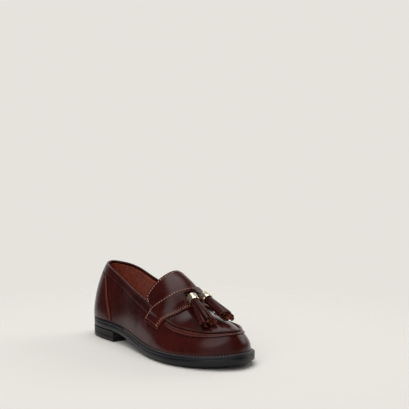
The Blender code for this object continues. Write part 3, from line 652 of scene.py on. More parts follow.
def collar_place(u, v):
    station = (2 * u - 1) * (BAND_END + BAND_SLANT * v)
    side = np.abs(station)
    low = spline(COLLAR_BAND_ROWS, side)
    share = low + v * (topline_share(side) - BAND_CLEAR - low)
    return skin(station, share, PANEL_TOP + pared(v, 0.16))


def overlay(name, along, up, place, node, surface=calf):
    """A panel that lies on the upper."""
    panel = shaped_grid(name, along, up, place)
    walled(panel, [surface, lining, surface], OVERLAY_WALL, bevel=EDGE_ROUND)
    return dressed(panel, [node])


overlay("counter_panel", 160, 40, counter_place, "heel_counter")
overlay("collar_panel", 280, 14, collar_place, "collar_band")


# %% [markdown]
# ## Rolled edges
# A binding is a strip rolled over the collar's edge, and the apron's bead is a fold with a cord in it. Both
# are tubes that follow a line on the last. A grid is rolled up around the line: one side of it runs along,
# the other goes round, and the two ends are filled.

# %% A tube along a line on the last
def up_profile(station, share):
    """The way up the last's profile."""
    step = 0.01
    return unit(last(station, share + step) - last(station, share))


def rolled(name, path, along, around, radius, flatten=1.0):
    """A tube around path(v), which gives its middle, its way out and its way along."""
    def place(u, v):
        middle, out, way = path(v)
        side = np.cross(way, out)
        turn = u * 2 * math.pi
        ring = out * (flatten * np.cos(turn))[:, None] + side * np.sin(turn)[:, None]
        return middle + ring * radius
    made = shaped_grid(name, around, along, place)
    joined(name, [made], merge=1e-6)
    bpy.ops.object.mode_set(mode="EDIT")
    bpy.ops.mesh.select_all(action="SELECT")
    bpy.ops.mesh.fill_holes(sides=0)
    bpy.ops.mesh.normals_make_consistent(inside=False)
    bpy.ops.object.mode_set(mode="OBJECT")
    return made


def line_on_last(place, height, stand=0.0):
    """A path for rolled(): the line place(v) at a height over the last, moved up its profile by stand."""
    def middle(v):
        station, share = place(v)
        return skin(station, share, height) + up_profile(station, share) * stand

    def path(v):
        step = 1e-4
        way = unit(middle(np.minimum(v + step, 1)) - middle(np.maximum(v - step, 0)))
        return middle(v), square_to(way, last_normal(*place(v))), way
    return path


def topline_place(v):
    station = (2 * v - 1) * BINDING_END
    return station, topline_share(np.abs(station))


binding_line = line_on_last(topline_place, -GAP, BINDING_RADIUS + GAP)
binding = rolled("collar_binding", binding_line, 240, 18, BINDING_RADIUS + GAP, flatten=1.07)
dressed(binding, ["topline_binding"], angle=60, surface=strap_calf)


# %% [markdown]
# The overlays' free edges are cut and then rounded. The counter's are left undyed and show as fine rusty
# lines, and those of the collar band and the apron are dyed. Each edge gets its own slim roll along the
# panel.

# %% Cut edges of the counter and the collar band
EDGE_ROLL, SLIM_ROLL = 0.00042, 0.0003
SIDES = (("outer", 1), ("inner", -1))


def cut_line(name, place, along, radius=EDGE_ROLL, surface=raw_edge):
    """A slim roll along a panel's edge."""
    made = rolled(name, line_on_last(place, PANEL_TOP - radius), along, 10, radius)
    return dressed(made, angle=60, surface=surface)


def collar_low(v):
    station = (2 * v - 1) * BAND_END
    return station, spline(COLLAR_BAND_ROWS, np.abs(station))


for name, side in SIDES:
    cut_line(f"counter_edge_{name}", lambda v: on_counter(v, side), 60)
cut_line("collar_edge", collar_low, 240, SLIM_ROLL, band_calf)


# %% [markdown]
# ## The apron
# On a moccasin toe the plug and the vamp are gathered into a raised seam. The band outside the bead is a
# panel like the others, from the strap's front edge around the toe and back.

# %% The apron's band and bead
APRON_START = SEAM_ROWS[0][0]


def on_apron(u, v, start=APRON_START):
    """Station and share on the apron's band: u along it from its outer end, v from its edge to the bead."""
    station = start + u * (LOOP - 2 * start)
    side = np.minimum(station, LOOP - station)
    low, top = spline(APRON_EDGE_ROWS, side), spline(SEAM_ROWS, side)
    return station, low + v * (top - low)


def apron_place(u, v):
    return skin(*on_apron(u, v), PANEL_TOP + pared(v, 0.2, 0.0004))


overlay("apron_panel", 260, 12, apron_place, "apron_band", band_calf)
cut_line("apron_edge", lambda v: on_apron(v, 0), 260, SLIM_ROLL, band_calf)
bead_line = line_on_last(lambda v: on_apron(v, 1), BEAD_RADIUS + GAP, BEAD_RADIUS + 2 * GAP)
bead = rolled("apron_bead", bead_line, 260, 14, BEAD_RADIUS, flatten=1.35)
dressed(bead, ["apron_seam"], angle=60, surface=band_calf)


# %% [markdown]
# ## Tongue and strap
# The tongue stands up behind the strap, and the strap crosses it. Both run over the ridge from the outer
# side to the inner one, so their grid has the share of the profile along one side, up to 1 and down again,
# and the way from the rear edge to the front one along the other.

# %% The tongue
STRAP_ROWS = [
    # share, rear, front
    (0.300, 6.12, 6.99), (0.380, 6.25, 7.06), (0.480, 6.46, 7.17), (0.640, 6.72, 7.40), (0.810, 6.81, 7.48),
    (0.910, 6.84, 7.50), (1.000, 6.83, 7.48),
]
TONGUE_ROWS = [
    # share, rear, front
    (0.480, 6.16, 6.66), (0.500, 5.97, 6.71), (0.535, 5.87, 6.78), (0.620, 5.90, 6.92), (0.765, 5.98, 7.02),
    (0.870, 5.99, 7.05), (1.000, 5.94, 7.05),
]


def instep_share(rows, u, closer):
    """Share of the profile on a piece over the instep; u goes from its inner end (0) to its outer one (1)."""
    start = rows[0][0]
    return start + (1 - start) * np.minimum(2 * u, 2 - 2 * u)**closer


def over_instep(rows, u, cross, closer=1.0):
    """Station and share on a piece over the instep; cross goes from its rear edge to its front one."""
    share = instep_share(rows, u, closer)
    rear, front = spline(column(rows, 1), share), spline(column(rows, 2), share)
    station = rear + cross * (front - rear)
    return np.where(u < 0.5, LOOP - station, station), share


TONGUE_CLOSER, TONGUE_SOFT, SOFT_RUN = 1.35, 0.0003, 0.06


def tongue_place(u, v):
    station, share = over_instep(TONGUE_ROWS, u, v, TONGUE_CLOSER)
    soft = TONGUE_SOFT * np.exp(-(v / SOFT_RUN)**2)
    return skin(station, share, GAP + TONGUE_WALL - soft)


tongue = shaped_grid("tongue_tab", 200, 60, tongue_place)
walled(tongue, [strap_calf, lining, strap_calf], TONGUE_WALL, bevel=0.0005)
dressed(tongue, ["tongue"])


# %% [markdown]
# The strap lies on the vamp at its ends and along its front edge and steps up onto the tongue between them.
# Its slot is cut by a Boolean with a rounded block. The block wears the raw edge's material, and the
# Boolean hands that on to the walls of the cut. A slim dyed roll then softens the slot's rim.

# %% The strap
def strap_height(share, cross):
    """The height of the strap's underside over the last."""
    step_start, step_run, front_start = TONGUE_ROWS[0][0] - 0.09, 0.07, 0.55
    rise = np.clip((share - step_start) / step_run, 0, 1)
    fall = np.clip((cross - front_start) / (1 - front_start), 0, 1)
    return 2 * GAP + (TONGUE_WALL + GAP) * (eased(rise) * (1 - eased(fall)))


def strap_place(u, v):
    station, share = over_instep(STRAP_ROWS, u, v)
    return skin(station, share, strap_height(share, v) + STRAP_WALL)


strap = shaped_grid("saddle_strap_skin", 220, 44, strap_place)
walled(strap, [strap_calf, lining, raw_edge], STRAP_WALL, bevel=0.0004, trim=2)

# %% Where the slot lies
SLOT_LENGTH, SLOT_WIDTH, SLOT_DEPTH, SLOT_ROUND = 0.0170, 0.0065, 0.0120, 0.0020
SLOT_OFFSET, SLOT_PLACE, NEAR_RIDGE = -0.0030, 0.34, 0.999
SLOT_RIM, SLOT_SQUARENESS, SLOT_KNOTS = 0.00035, 0.4, np.linspace(0, 1, 97)


def strap_slot():
    """Station and share of the slot's middle."""
    rear, front = STRAP_ROWS[-1][1:]
    return rear + SLOT_PLACE * (front - rear), NEAR_RIDGE


slot_out = Vector(last_normal(*strap_slot()))
slot_forward = Vector((0, 1, 0)).cross(slot_out).normalized()
slot_across = slot_out.cross(slot_forward).normalized()
slot_turn = Matrix((slot_forward, slot_across, slot_out)).transposed()
slot_middle = Vector(last(*strap_slot()) + HOME) + Vector((0, SLOT_OFFSET, 0))


def slot_outline():
    """The slot's squarish oval, found on the uncut strap by looking down on it from all around the slot."""
    turn = 2 * math.pi * SLOT_KNOTS
    points = []
    for ahead, sideways in zip(np.cos(turn), np.sin(turn)):
        ahead = math.copysign(abs(ahead)**SLOT_SQUARENESS, ahead) * SLOT_WIDTH / 2
        sideways = math.copysign(abs(sideways)**SLOT_SQUARENESS, sideways) * SLOT_LENGTH / 2
        above = slot_middle + slot_forward * ahead + slot_across * sideways + slot_out * SLOT_DEPTH
        points.append(strap.ray_cast(above, -slot_out)[1])
    return np.array(points) - HOME


SLOT_LINE = slot_outline()


def slot_rim_path(v):
    def at(t):
        return between_knots(t % 1, SLOT_KNOTS, SLOT_LINE)
    way = unit(at(v + 0.01) - at(v - 0.01))
    out = np.tile(slot_out, (len(v), 1))
    return at(v) - np.array(slot_out) * SLOT_RIM / 2, square_to(way, out), way


# %% The slot and its rim
bpy.ops.object.select_all(action="DESELECT")
bpy.ops.mesh.primitive_cube_add(size=1)
block = bpy.context.object
block.scale = (SLOT_WIDTH, SLOT_LENGTH, SLOT_DEPTH)
bpy.ops.object.transform_apply(location=False, rotation=False, scale=True)
modified(block, "BEVEL", width=SLOT_ROUND, segments=4, affect="EDGES", limit_method="ANGLE",
         angle_limit=math.radians(80))
block.matrix_world = Matrix.Translation(slot_middle) @ slot_turn.to_4x4()
block.data.materials.append(raw_edge)
modified(strap, "BOOLEAN", operation="DIFFERENCE", object=block, solver="EXACT", material_mode="TRANSFER")
bpy.data.objects.remove(block)
print("the slot is cut:", len(strap.data.polygons), "faces")
dressed(strap, ["saddle_strap"])
rim = rolled("slot_rim", slot_rim_path, 96, 8, SLOT_RIM)
dressed(rim, angle=60, surface=band_calf)


# %% [markdown]
# ## Stitches
# A seam is a row of short threads that dip into the leather at both ends. One is modelled from a small
# sphere and laid many times along a line, in one mesh for each seam. Each lies a little askew, as a lock
# stitch does, and half sunk, so that no thread floats.

# %% A row of stitches
def stitch_row(name, line, length, radius, pitch, surface, skew=8, slot="burgundy_leather"):
    """Lays threads, whose ends dip into the leather, along line(t): points and the ways out of it there."""
    points, out = line(np.linspace(0, 1, 1200))
    far = lengths_along(points)
    count = int(far[-1] / pitch)
    places = (np.arange(count) + 0.5) * far[-1] / count
    middle, normal = between_knots(places, far, points), between_knots(places, far, out)
    before, after = (between_knots(places + reach, far, points) for reach in (-length / 2, length / 2))
    way = unit(after - before)
    side = unit(np.cross(normal, way))
    normal = np.cross(way, side)
    turn = math.radians(skew)
    way, side = way * math.cos(turn) + side * math.sin(turn), side * math.cos(turn) - way * math.sin(turn)
    bpy.ops.object.select_all(action="DESELECT")
    bpy.ops.mesh.primitive_uv_sphere_add(segments=8, ring_count=6, radius=1)
    thread = bpy.context.object
    knots = np.array([vertex.co for vertex in thread.data.vertices])
    faces = [tuple(polygon.vertices) for polygon in thread.data.polygons]
    bpy.data.objects.remove(thread)
    long = knots[:, 2:3] * length / 2
    high = knots[:, 0:1] * radius - (knots[:, 2:3]**2) * radius
    wide = -knots[:, 1:2] * radius
    copies = middle[:, None] + long * way[:, None] + high * normal[:, None] + wide * side[:, None] + HOME
    all_faces = [tuple(i * len(knots) + k for k in face) for i in range(count) for face in faces]
    mesh = bpy.data.meshes.new(name)
    mesh.from_pydata(copies.reshape(-1, 3).tolist(), [], all_faces)
    made = bpy.data.objects.new(name, mesh)
    bpy.context.scene.collection.objects.link(made)
    return dressed(made, angle=80, surface=surface)


def on_leather(station, share, height):
    """What a line for stitch_row() gives: points at a height over the last, and the ways out."""
    return skin(station, share, height), last_normal(station, share)


# %% Stitches of the tongue and the strap
THREAD, FINE_THREAD = 0.00042, 0.0003
# length, radius, pitch
LONG_STITCH = (0.0026, THREAD, 0.0032)
SHORT_STITCH = (0.0022, THREAD, 0.0029)
THIN_STITCH = (0.0022, THREAD * 0.9, 0.0029)
INSTEP_STATION = 0.029


def instep_seam(rows, aside, height_at, front=False, start=0.02, closer=1.0):
    """A line at a distance from the rear or front edge of a piece over the instep."""
    def line(t):
        u = start + t * (1 - 2 * start)
        share = instep_share(rows, u, closer)
        width = spline([(row[0], row[2] - row[1]) for row in rows], share) * INSTEP_STATION
        cross = 1 - aside / width if front else aside / width
        station, share = over_instep(rows, u, cross, closer)
        return on_leather(station, share, height_at(share, cross))
    return line


def on_tongue(share, cross):
    return GAP + TONGUE_WALL


def on_strap(share, cross):
    return strap_height(share, cross) + STRAP_WALL


def strap_seam(aside, front):
    return instep_seam(STRAP_ROWS, aside, on_strap, front=front, start=0.015)


tongue_seam = instep_seam(TONGUE_ROWS, 0.0023, on_tongue, start=0.03, closer=TONGUE_CLOSER)
stitch_row("tongue_stitches", tongue_seam, *LONG_STITCH, tan_thread)
stitch_row("strap_rear_stitches", strap_seam(0.0018, False), *LONG_STITCH, tan_thread)
stitch_row("strap_front_stitches", strap_seam(0.0020, True), *SHORT_STITCH, tan_thread)
stitch_row("strap_front_stitches_2", strap_seam(0.0038, True), *THIN_STITCH, wine_thread)


# %% Stitches of the strap's ends, the counter and the apron
COUNTER_STITCH = (0.0022, FINE_THREAD, 0.0030)
APRON_STITCH = (0.0021, FINE_THREAD, 0.0028)
STRAP_END_SHARE, COUNTER_ASIDE = 0.335, 0.0020


def strap_end_seam(side):
    def line(t):
        cross = 0.08 + 0.84 * t
        rear, front = (spline(column(STRAP_ROWS, k), STRAP_END_SHARE) for k in (1, 2))
        station = rear + cross * (front - rear)
        station = station if side > 0 else LOOP - station
        return on_leather(station, STRAP_END_SHARE, on_strap(STRAP_END_SHARE, cross))
    return line


def counter_seam(side):
    def line(t):
        return on_leather(*on_counter(0.02 + 0.96 * t, side, COUNTER_ASIDE / STATION_LENGTH), PANEL_TOP)
    return line


def apron_seam(across):
    def line(t):
        return on_leather(*on_apron(t, across, APRON_START + 0.05), PANEL_TOP)
    return line


for name, side in SIDES:
    stitch_row(f"strap_end_stitches_{name}", strap_end_seam(side), *SHORT_STITCH, wine_thread)
for name, side in SIDES:
    stitch_row(f"counter_stitches_{name}", counter_seam(side), *COUNTER_STITCH, wine_thread)
for name, across in (("low", 0.22), ("high", 0.72)):
    stitch_row(f"apron_stitches_{name}", apron_seam(across), *APRON_STITCH, wine_thread)


# %% [markdown]
# ## The sole
# The welt and the outsole are rings around the shoe. A grid is wrapped around once more, and its rows take
# the steps of the ring's section. The middle is closed above and below by grids whose rungs run straight
# across from the outer side to the inner one. Their points fall on the ring's own, so merging makes one
# closed skin.

# %% Rings and rungs
COLUMNS = 576


def ring_points(section, v, plan_at):
    """Points of a ring: the section's rows are (inset, height by x), and plan_at(inset) gives their plan."""
    row = (v * (len(section) - 1)).round().astype(int)
    plan = plan_at(np.array([step[0] for step in section])[row])
    heights = np.stack([level(plan[:, 0]) for _, level in section])
    return np.column_stack([plan, heights[row, np.arange(len(row))]])


def ring_place(section):
    def place(u, v):
        return ring_points(section, v, lambda inset: inset_plan(u * LOOP, inset)[0])
    return place


def rungs(outer_station, inner_station, inset, v):
    """The outer and inner ends of rungs across the shoe, and the points at v along them."""
    outer, inner = inset_plan(outer_station, inset)[0], inset_plan(inner_station, inset)[0]
    return outer, inner, outer + v[:, None] * (inner - outer)


def edge_distance(outer, inner, v):
    return np.minimum(v, 1 - v) * (inner - outer)[:, 1]


def rung_place(inset, level, relief=None):
    def place(u, v):
        station = u * SIDE_STATIONS
        outer, inner, plan = rungs(station, LOOP - station, inset, v)
        height = level(outer[:, 0]) * (1 - v) + level(inner[:, 0]) * v
        if relief is not None:
            height = height + relief(u, plan[:, 0], edge_distance(outer, inner, v))
        return np.column_stack([plan, height])
    return place


def under_seat(drop):
    """A height by x, this far below the welt's top."""
    return lambda x: seat_height(x) - drop


def tread_level(x):
    """The tread's underside by x; it runs out towards the heel."""
    return seat_height(x) - WELT - GAP - OUTSOLE_EDGE - TREAD * steady(TREAD_ROWS, x / LENGTH)


# %% The welt
WELT_SECTION = [
    # inset, height
    (WELT_WIDTH, under_seat(WELT)), (0.0002, under_seat(WELT)), (-0.0001, under_seat(WELT - 0.0005)),
    (0.0001, under_seat(0.0007)), (0.0008, under_seat(0.0001)), (0.0015, under_seat(0.0)),
    (WELT_WIDTH, under_seat(0.0)), (WELT_WIDTH, under_seat(WELT)),
]
welt = shaped_grid("welt_strip", COLUMNS, len(WELT_SECTION) - 1, ring_place(WELT_SECTION))
joined("welt_strip", [welt], merge=1e-6, outwards=True)
dressed(welt, ["welt"], surface=rubber)


WELT_SEAM_START, WELT_SEAM_ASIDE, WELT_SEAM_LEAST, WELT_SEAM_LIFT = 4.6, 0.0010, 0.0009, 0.0002


def welt_line(t):
    """The welt's seam around the front, close to the upper."""
    station = WELT_SEAM_START + t * (LOOP - 2 * WELT_SEAM_START)
    inset = profile(station)[:, 0] * WELT_WIDTH
    plan, _ = inset_plan(station, np.maximum(inset - WELT_SEAM_ASIDE, WELT_SEAM_LEAST))
    points = np.column_stack([plan, seat_height(plan[:, 0]) + WELT_SEAM_LIFT])
    return points, np.tile([0.0, 0.0, 1.0], (len(t), 1))


WELT_STITCH = (0.0027, 0.0006, 0.0036)
stitch_row("welt_stitches", welt_line, *WELT_STITCH, grey_thread_painted_glint, skew=14, slot="black_rubber")


# %% [markdown]
# The tread is what a walker sees of the sole from below: shallow grooves across the forefoot, cut up into
# the rubber so that the ribs between them keep the level that the shoe stands on. The grooves follow the
# grid's own rungs, so that their walls are clean, and fade out towards the edge.

# %% The outsole and its tread
GROOVE_PITCH, GROOVE_WIDTH = 6, 2
GROOVE_DEPTH, GROOVE_MARGIN, GROOVE_FADE = 0.0009, 0.0060, 0.001
FIELD_START, FIELD_END, FIELD_FADE = 0.50 * LENGTH, 0.965 * LENGTH, 0.002


def tread_grooves(u, x, from_edge):
    """How deep the grooves are. Their pitch and width are numbers of rungs."""
    cut = (u * COLUMNS / 2).round() % GROOVE_PITCH < GROOVE_WIDTH
    inside = np.clip((from_edge - GROOVE_MARGIN) / GROOVE_FADE, 0, 1)
    field = np.clip((x - FIELD_START) / FIELD_FADE, 0, 1) * np.clip((FIELD_END - x) / FIELD_FADE, 0, 1)
    return GROOVE_DEPTH * cut * inside * field


LEDGE, TREAD_ROUND = WELT + GAP, 0.0006
OUTSOLE_SECTION = [
    # inset, height
    (TREAD_INSET + TREAD_ROUND, tread_level), (TREAD_INSET, lambda x: tread_level(x) + TREAD_ROUND),
    (TREAD_INSET, under_seat(LEDGE + OUTSOLE_EDGE)), (0.0008, under_seat(LEDGE + OUTSOLE_EDGE)),
    (0.0001, under_seat(LEDGE + OUTSOLE_EDGE - 0.0009)), (0.0, under_seat(LEDGE + 0.0030)),
    (0.0, under_seat(LEDGE + 0.0004)), (0.0003, under_seat(LEDGE)), (WELT_WIDTH, under_seat(LEDGE)),
    (WELT_WIDTH + GAP, under_seat(0.0)),
]
outsole_ring = shaped_grid("outsole_ring", COLUMNS, len(OUTSOLE_SECTION) - 1, ring_place(OUTSOLE_SECTION))
outsole_under = shaped_grid("outsole_under", COLUMNS // 2, 120,
                            rung_place(TREAD_INSET + TREAD_ROUND, tread_level, tread_grooves))
outsole_top = shaped_grid("outsole_top", COLUMNS // 2, 4, rung_place(WELT_WIDTH + GAP, under_seat(0.0)))
outsole = joined("outsole_skin", [outsole_ring, outsole_under, outsole_top], merge=2e-6, outwards=True)
dressed(outsole, ["outsole"], angle=40, surface=rubber)


# %% [markdown]
# ## The heel
# A low heel is a block under the outsole, cut straight at its breast, with a lift below it that meets the
# floor. Each is a wall that runs around the back and straight across the breast, with rungs below and
# above. The block's wall has two fine grooves, because a real one is glued up from layers.

# %% Where the heel ends
def breast_station():
    """The station where the sole's edge reaches the heel's length, by halving."""
    low, high = 0.0, float(SIDE_STATIONS)
    for _ in range(40):
        middle = (low + high) / 2
        if sole_edge(np.array(middle))[0] < HEEL_LENGTH:
            low = middle
        else:
            high = middle
    return low


BREAST, ROUND_SHARE = breast_station(), 0.8


# %% The heel's block and lift
def heel_ring(section):
    """The heel's wall, from the breast's inner corner around the back and straight across the breast."""
    def place(u, v):
        def plan_at(inset):
            station = (2 * np.clip(u / ROUND_SHARE, 0, 1) - 1) * BREAST
            across = np.clip((u - ROUND_SHARE) / (1 - ROUND_SHARE), 0, 1)[:, None]
            first, second = inset_plan(BREAST, inset)[0], inset_plan(-BREAST, inset)[0]
            return np.where(u[:, None] > ROUND_SHARE, first + across * (second - first),
                            inset_plan(station, inset)[0])
        return ring_points(section, v, plan_at)
    return place


def heel_cap(inset, level):
    """Rungs that close the heel's wall below or above."""
    def place(u, v):
        _, _, plan = rungs(u * BREAST, -u * BREAST, inset, v)
        return np.column_stack([plan, level(plan[:, 0])])
    return place


def heel_piece(name, section, surface, node):
    ring = shaped_grid(name + "_wall", 200, len(section) - 1, heel_ring(section))
    low = shaped_grid(name + "_low", 80, 40, heel_cap(*section[0]))
    high = shaped_grid(name + "_high", 80, 40, heel_cap(*section[-1]))
    made = joined(name, [ring, low, high], merge=2e-6, outwards=True)
    return dressed(made, [node], angle=40, surface=surface)


def flat(height):
    """The same height at every x."""
    return lambda x: np.full(np.shape(x), height)


BLOCK_BASE = TOP_LIFT + GAP


def between(share):
    """A level in the heel block, from its base (0) to the outsole (1)."""
    return lambda x: BLOCK_BASE + share * (tread_level(x) - GAP - BLOCK_BASE)

def heel_layers(count, groove, corner=0.0005, half=0.04):
    """The heel block's section: layers with a groove between them, half of it that share of the height."""
    section = [(corner, between(0.0)), (0.0, between(0.06))]
    for i in range(1, count):
        middle = i / count
        section += [(0.0, between(middle - half)), (groove, between(middle)), (0.0, between(middle + half))]
    return section + [(0.0, between(0.94)), (corner, between(1.0))]


heel_piece("heel_stack", heel_layers(3, 0.00022), heel_rubber, "heel_block")
LIFT_SECTION = [
    # inset, height
    (0.0006, flat(0.0)), (0.0, flat(0.0006)), (0.0, flat(TOP_LIFT - 0.0004)), (0.0004, flat(TOP_LIFT)),
]
heel_piece("heel_lift", LIFT_SECTION, rubber, "top_lift")


# %% [markdown]
# ## The insole
# Inside lies a leather sock. It is a rung grid with its rim turned up a little against the lining.

# %% The insole
SOCK_DISH, DISH_RUN, SOCK_WALL = 0.0008, 0.012, INSOLE - 0.001


def insole_place(u, v):
    station = u * SIDE_STATIONS
    inset = profile(station)[:, 0] * WELT_WIDTH + UPPER_WALL + 2 * GAP
    outer, inner, plan = rungs(station, LOOP - station, inset, v)
    dish = SOCK_DISH * (1 - np.exp(-(edge_distance(outer, inner, v) / DISH_RUN)**2))
    return np.column_stack([plan, seat_height(plan[:, 0]) + GAP + INSOLE - dish])


sock = joined("insole_sock", [shaped_grid("insole_sock", 150, 40, insole_place)], merge=1e-6)
walled(sock, [lining], SOCK_WALL)
dressed(sock, ["insole"])

# %% [markdown]
# ## Tassels
# Each tassel hangs from a ferrule on the strap and rests on the apron. Its strips are cut from one piece of
# leather that is rolled up into the ferrule, so they start close together, spread and curl along their
# length, and end in raw C-shaped faces. Each strip is a small grid that is curled by its own amount, with
# thickness and cut edges, and none is quite as long as the next.

# %% Where the tassels lie
FERRULE_LENGTH, FERRULE_RADIUS, FERRULE_WALL = 0.0100, 0.0057, 0.0007
FERRULE_EASE, FERRULE_REST, LACE_RADIUS = 0.0008, 0.0014, 0.0011
TASSEL_LENGTH, TASSEL_WIDTH, TASSEL_DEPTH, TASSEL_REST = 0.0500, 0.0200, 0.0115, 0.0012
TASSEL_ROWS = [
    # side, the head's station and share, the end's station and share
    ("outer", 7.40, 0.915, 9.48, 0.712), ("inner", 16.61, 0.893, 14.04, 0.925),
]
FRINGE_ROWS = [(0.00, 0.00), (0.16, 0.00), (0.30, 0.16), (0.55, 0.48), (0.80, 0.84), (1.00, 1.00)]


def raised(station, share, height):
    """A point at a height over the last, without its creases."""
    return last(station, share) + last_normal(station, share) * height


def tassel_frame(head_station, head_share, end_station, end_share):
    """The ferrule's middle, and a turn whose Z axis runs down the tassel and whose X axis points up."""
    head = Vector(raised(head_station, head_share, FERRULE_RADIUS + TONGUE_WALL + STRAP_WALL + FERRULE_REST))
    end = Vector(raised(end_station, end_share, TASSEL_DEPTH / 2 + TASSEL_REST))
    down = (end - head).normalized()
    side = down.cross(Vector(last_normal(head_station, head_share))).normalized()
    return head, Matrix((side.cross(down).normalized(), side, down)).transposed()


def laid(made, head, turn):
    """Moves a piece that was made upright at the origin to its tassel, place and turn in its mesh."""
    made.data.transform(Matrix.Translation(head + Vector(HOME)) @ turn.to_4x4())
    return made


# %% The ferrules
def turned(name, rings, sides=72):
    """A circle is extruded and scaled from ring to ring, as (radius, height)."""
    bpy.ops.object.select_all(action="DESELECT")
    radius, level = rings[0]
    bpy.ops.mesh.primitive_circle_add(vertices=sides, radius=radius, location=(0, 0, 0))
    made = bpy.context.object
    made.data.transform(Matrix.Translation((0, 0, level)))
    bpy.ops.object.mode_set(mode="EDIT")
    bpy.ops.mesh.select_all(action="SELECT")
    for next_radius, next_level in rings[1:]:
        bpy.ops.mesh.extrude_region_move(TRANSFORM_OT_translate={"value": (0, 0, next_level - level)})
        share = next_radius / radius
        bpy.ops.transform.resize(value=(share, share, 1), center_override=(0, 0, 0))
        radius, level = next_radius, next_level
    bpy.ops.object.mode_set(mode="OBJECT")
    return joined(name, [made], merge=1e-6, outwards=True)


def make_ferrule(name, head, turn):
    half, outside = FERRULE_LENGTH / 2, FERRULE_RADIUS
    bore, hole = FERRULE_RADIUS - FERRULE_WALL, LACE_RADIUS + GAP
    floor_level = -half + FERRULE_WALL
    rings = [(hole, -half), (outside - 0.0005, -half), (outside - 0.00015, -half + 0.00015),
             (outside, -half + 0.0005), (outside * 0.985, 0.0), (outside, half - 0.0006),
             (outside - 0.0002, half), (bore + 0.0001, half), (bore, half - 0.0004),
             (bore, floor_level + FERRULE_EASE), (bore - FERRULE_EASE, floor_level), (hole, floor_level),
             (hole, -half)]
    made = laid(turned(name, rings), head, turn)
    return dressed(made, [name.replace("sleeve", "ferrule")], angle=20, surface=gold)


# %% The strips
STRIP_WALL, STRIP_ROUND, STRIP_EASE = 0.0009, 0.00022, 0.0006
STRIP_SHORTER, STRIP_SWAY, STRIP_HALF_WIDTH, STRIP_WIDENING = 0.0042, 0.0014, 0.0015, 0.0013
FLAT_BEND, LEAST_CURL, MORE_CURL, FLARE = 0.35, 0.85, 0.75, 0.16
LAYERS = ((1.0, 9), (0.5, 4))


def make_strips(name, head, turn, seed, splay):
    """Strips around the ferrule's bore, and a few inside them; splay is the side that hangs loose."""
    chance = np.random.default_rng(seed)
    start = -FERRULE_LENGTH / 2 + FERRULE_WALL + 2 * GAP + FERRULE_EASE
    bore = FERRULE_RADIUS - FERRULE_WALL - STRIP_EASE
    strips = []
    for layer, count in LAYERS:
        for i in range(count):
            angle = (i + 0.5 * chance.random()) * 2 * math.pi / count
            length = TASSEL_LENGTH - STRIP_SHORTER * chance.random()
            curl = LEAST_CURL + MORE_CURL * chance.random()
            flare = 1 - FLARE * chance.random() + FLARE * max(0.0, splay * math.sin(angle))
            sway = STRIP_SWAY * (chance.random() - 0.5)

            def place(u, v):
                sideways = 2 * u - 1
                spread = steady(FRINGE_ROWS, v)
                deep = layer * (bore + spread * (flare * TASSEL_DEPTH / 2 - bore))
                wide = layer * (bore + spread * (flare * TASSEL_WIDTH / 2 - bore))
                bend = FLAT_BEND + (curl - FLAT_BEND) * v**3
                radius = (STRIP_HALF_WIDTH + STRIP_WIDENING * spread) / bend
                over, inward = radius * np.sin(sideways * bend), radius * (np.cos(sideways * bend) - 1)
                x = (deep + inward) * math.cos(angle) - over * math.sin(angle)
                y = (wide + inward) * math.sin(angle) + over * math.cos(angle) + sway * np.sin(v * 6) * v
                return np.column_stack([x, y, start + v * length]) - HOME
            strip = shaped_grid(f"{name}_{len(strips)}", 12, 30, place)
            strips.append(walled(strip, [strap_calf, raw_edge, raw_edge], STRIP_WALL, STRIP_ROUND, trim=0))
    made = laid(joined(name, strips), head, turn)
    return dressed(made, [name.replace("strips", "tassel")], angle=40)


heads = []
for number, (which, *places) in enumerate(TASSEL_ROWS):
    head, turn = tassel_frame(*places)
    make_ferrule("sleeve_" + which, head, turn)
    make_strips("strips_" + which, head, turn, 7 + number, 1 - 2 * number)
    heads.append((head, turn.col[2].copy()))


# %% [markdown]
# One short lace comes up out of the slot and ends in both ferrules. It could be a curve with a round bevel,
# but a rolled grid, as for the binding, can be flattened a little and closes its own ends.

# %% The lace
def bezier(start, low, high, end, t):
    return (1 - t)**3 * start + 3 * (1 - t)**2 * t * low + 3 * (1 - t) * t**2 * high + t**3 * end


def lace_points():
    """One lace from ferrule to ferrule, over the strap's slot between them."""
    middle = Vector(raised(*strap_slot(), TONGUE_WALL + STRAP_WALL + 3 * GAP + LACE_RADIUS))
    middle.y = sum(head.y for head, down in heads) / len(heads)
    bend = 4 * LACE_RADIUS
    sides = []
    for head, down in heads:
        inside = head - down * (FERRULE_LENGTH / 2 - 2 * FERRULE_WALL)
        mouth = head - down * (FERRULE_LENGTH / 2 + GAP)
        toward = Vector((0, math.copysign(bend, head.y - middle.y), 0))
        curve = [bezier(mouth, mouth - down * bend, middle + toward, middle, k / 12) for k in range(13)]
        sides.append([inside] + curve)
    return np.array(sides[0] + sides[1][-2::-1])


LACE = lace_points()


def lace_path(v):
    far = lengths_along(LACE)

    def at(t):
        return between_knots(t, far / far[-1], LACE)
    way = unit(at(np.minimum(v + 0.01, 1)) - at(np.maximum(v - 0.01, 0)))
    return at(v), square_to(way, np.tile([0.0, 0.0, 1.0], (len(v), 1))), way


lace = rolled("lace_loop", lace_path, 60, 12, LACE_RADIUS, flatten=0.75)
dressed(lace, ["tassel_lace"], angle=60, surface=strap_calf)

# %% [markdown]
# ## The studio
# The photograph was taken on a pale sweep in soft light. A round flat floor stands for the sweep. The light
# comes from five soft boxes in the world around it: behind the shoe, above it, to the right, to the left,
# and a weak one from the front. There is little else, because the dark between them is what makes polished
# leather look deep. The floor is small for the same reason: leather that leans outwards mirrors it, and
# upright leather must not. The world shows itself to the camera in the floor's own tone, so that floor and
# background meet without an edge.

